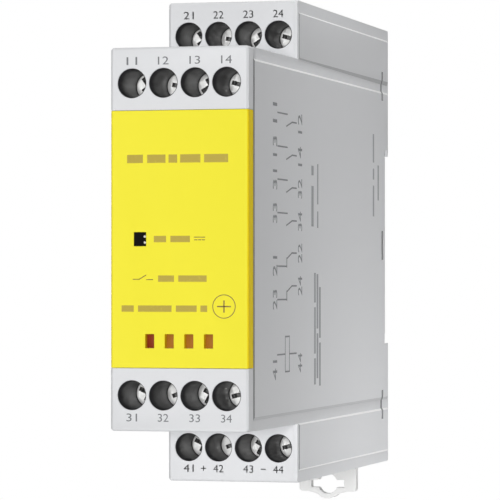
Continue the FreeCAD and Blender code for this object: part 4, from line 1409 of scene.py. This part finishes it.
@dataclass
class Lamp:
    """A soft round light that faces the object; its place and target are in metres."""

    name: str
    place: tuple
    size: float
    power: float
    target: tuple = (0.0, -0.045, 0.0)

    def build(self) -> None:
        """Make the light."""
        data = bpy.data.lights.new(self.name, "AREA")
        data.shape = "DISK"
        data.size = self.size
        data.energy = self.power
        item = bpy.data.objects.new(self.name, data)
        bpy.context.scene.collection.objects.link(item)
        item.location = self.place
        aim = Vector(self.target) - Vector(self.place)
        item.rotation_euler = aim.to_track_quat("-Z", "Y").to_euler()


@dataclass
class Studio:
    """A pale floor, a white surround, soft lights and the camera."""

    ambient: float = 0.04
    floor_place: tuple = (0.0, -0.045, -0.40)
    floor_radius: float = 1.20
    floor_steps: int = 96
    floor_tones: tuple = (linear(236, 236, 236), linear(242, 242, 242))
    floor_grain: float = 30.0 * MM
    floor_glow: float = 0.6
    lamps: tuple = (
        Lamp("key_light", (0.255, -1.95, 0.02), 0.36, 28.4),
        Lamp("fill_light", (0.20, -0.10, -0.20), 0.10, 0.035, (0.01, -0.04, -0.03)),
        Lamp("top_light", (0.20, 0.05, 0.80), 0.40, 3.0),
        Lamp("side_light", (0.085, -0.01, -0.06), 0.04, 0.027, (0.01, -0.03, -0.042)),
        Lamp("crown_light", (0.045, -0.05, 0.088), 0.03, 0.009, (0.01, -0.03, 0.036)),
        Lamp("back_light", (-1.00, 1.50, 0.10), 0.50, 13.0),
    )
    camera_place: tuple = (0.14006, -0.56286, -0.0066)
    camera_turn: float = 15.37
    camera_rise: float = 0.01
    lens: float = 224.6
    sensor: float = 36.0

    def build(self) -> None:
        """Make all of it."""
        self.build_world()
        self.build_floor()
        for lamp in self.lamps:
            lamp.build()
        self.build_camera()
        bpy.context.scene.view_settings.view_transform = "Standard"
        log.info("studio ready")

    @staticmethod
    def seen_directly(graph: Graph) -> Signal:
        """Give 1 for what the camera, gloss and clear plastic see."""
        camera, gloss, clear = (graph.node("ShaderNodeLightPath", output=f"Is {kind} Ray")
                                for kind in ("Camera", "Glossy", "Transmission"))
        return (camera + gloss + clear).clipped()

    def build_world(self) -> None:
        """Make the surround: white to look at, softer as a light."""
        world = bpy.data.worlds.new("surround")
        bpy.context.scene.world = world
        graph = Graph(world)
        strength = self.seen_directly(graph) * (1.0 - self.ambient) + self.ambient
        sky = graph.node("ShaderNodeBackground", {}, {"Color": WHITE, "Strength": strength})
        graph.node("ShaderNodeOutputWorld", {}, {"Surface": sky})

    def build_floor(self) -> None:
        """Make the floor: a pale disc that keeps the object's shadow."""
        mesh = bmesh.new()
        bmesh.ops.create_circle(mesh, cap_ends=True, radius=self.floor_radius, segments=self.floor_steps)
        bmesh.ops.translate(mesh, vec=self.floor_place, verts=mesh.verts)
        data = bpy.data.meshes.new("floor")
        mesh.to_mesh(data)
        mesh.free()
        item = bpy.data.objects.new("floor", data)
        bpy.context.scene.collection.objects.link(item)
        graph = Graph.of_finish("floor_pale")
        colour = graph.mix(graph.noise(self.floor_grain), *self.floor_tones)
        matte = graph.node("ShaderNodeBsdfDiffuse", {}, {"Color": colour})
        glow = graph.node("ShaderNodeEmission", {}, {"Color": WHITE, "Strength": 1.0})
        factor = self.seen_directly(graph) * self.floor_glow
        shown = graph.node("ShaderNodeMixShader", {}, [factor, matte, glow])
        graph.node("ShaderNodeOutputMaterial", {}, {"Surface": shown})
        data.materials.append(graph.owner)

    def build_camera(self) -> None:
        """Make the camera and set it as the scene's."""
        data = bpy.data.cameras.new("camera")
        data.lens = self.lens
        data.sensor_width = self.sensor
        item = bpy.data.objects.new("camera", data)
        bpy.context.scene.collection.objects.link(item)
        item.location = self.camera_place
        item.rotation_euler = (math.pi / 2 + self.camera_rise, 0.0, math.radians(self.camera_turn))
        bpy.context.scene.camera = item


def main() -> None:
    """Build every sub-assembly in order."""
    logging.basicConfig(level=logging.INFO, format="%(name)s %(message)s")
    Studio().build()
    Case().build()
    FrontPlate().build()
    rows = (
        TerminalRow("front_upper", ("11", "12", "13", "14"), first_turn=55.0),
        TerminalRow("rear_upper", ("21", "22", "23", "24"), first_turn=55.0),
        TerminalRow("front_lower", ("31", "32", "33", "34"), first_turn=25.0),
        TerminalRow("rear_lower", ("41", "42", "43", "44"), first_turn=25.0,
                    signs=((-5.15, "+"), (5.15, "-"))),
    )
    for row in rows:
        row.build()
    RailLatch().build()
    ControlBoard().build()
    GuidedRelay().build()


if __name__ == "__main__":
    main()
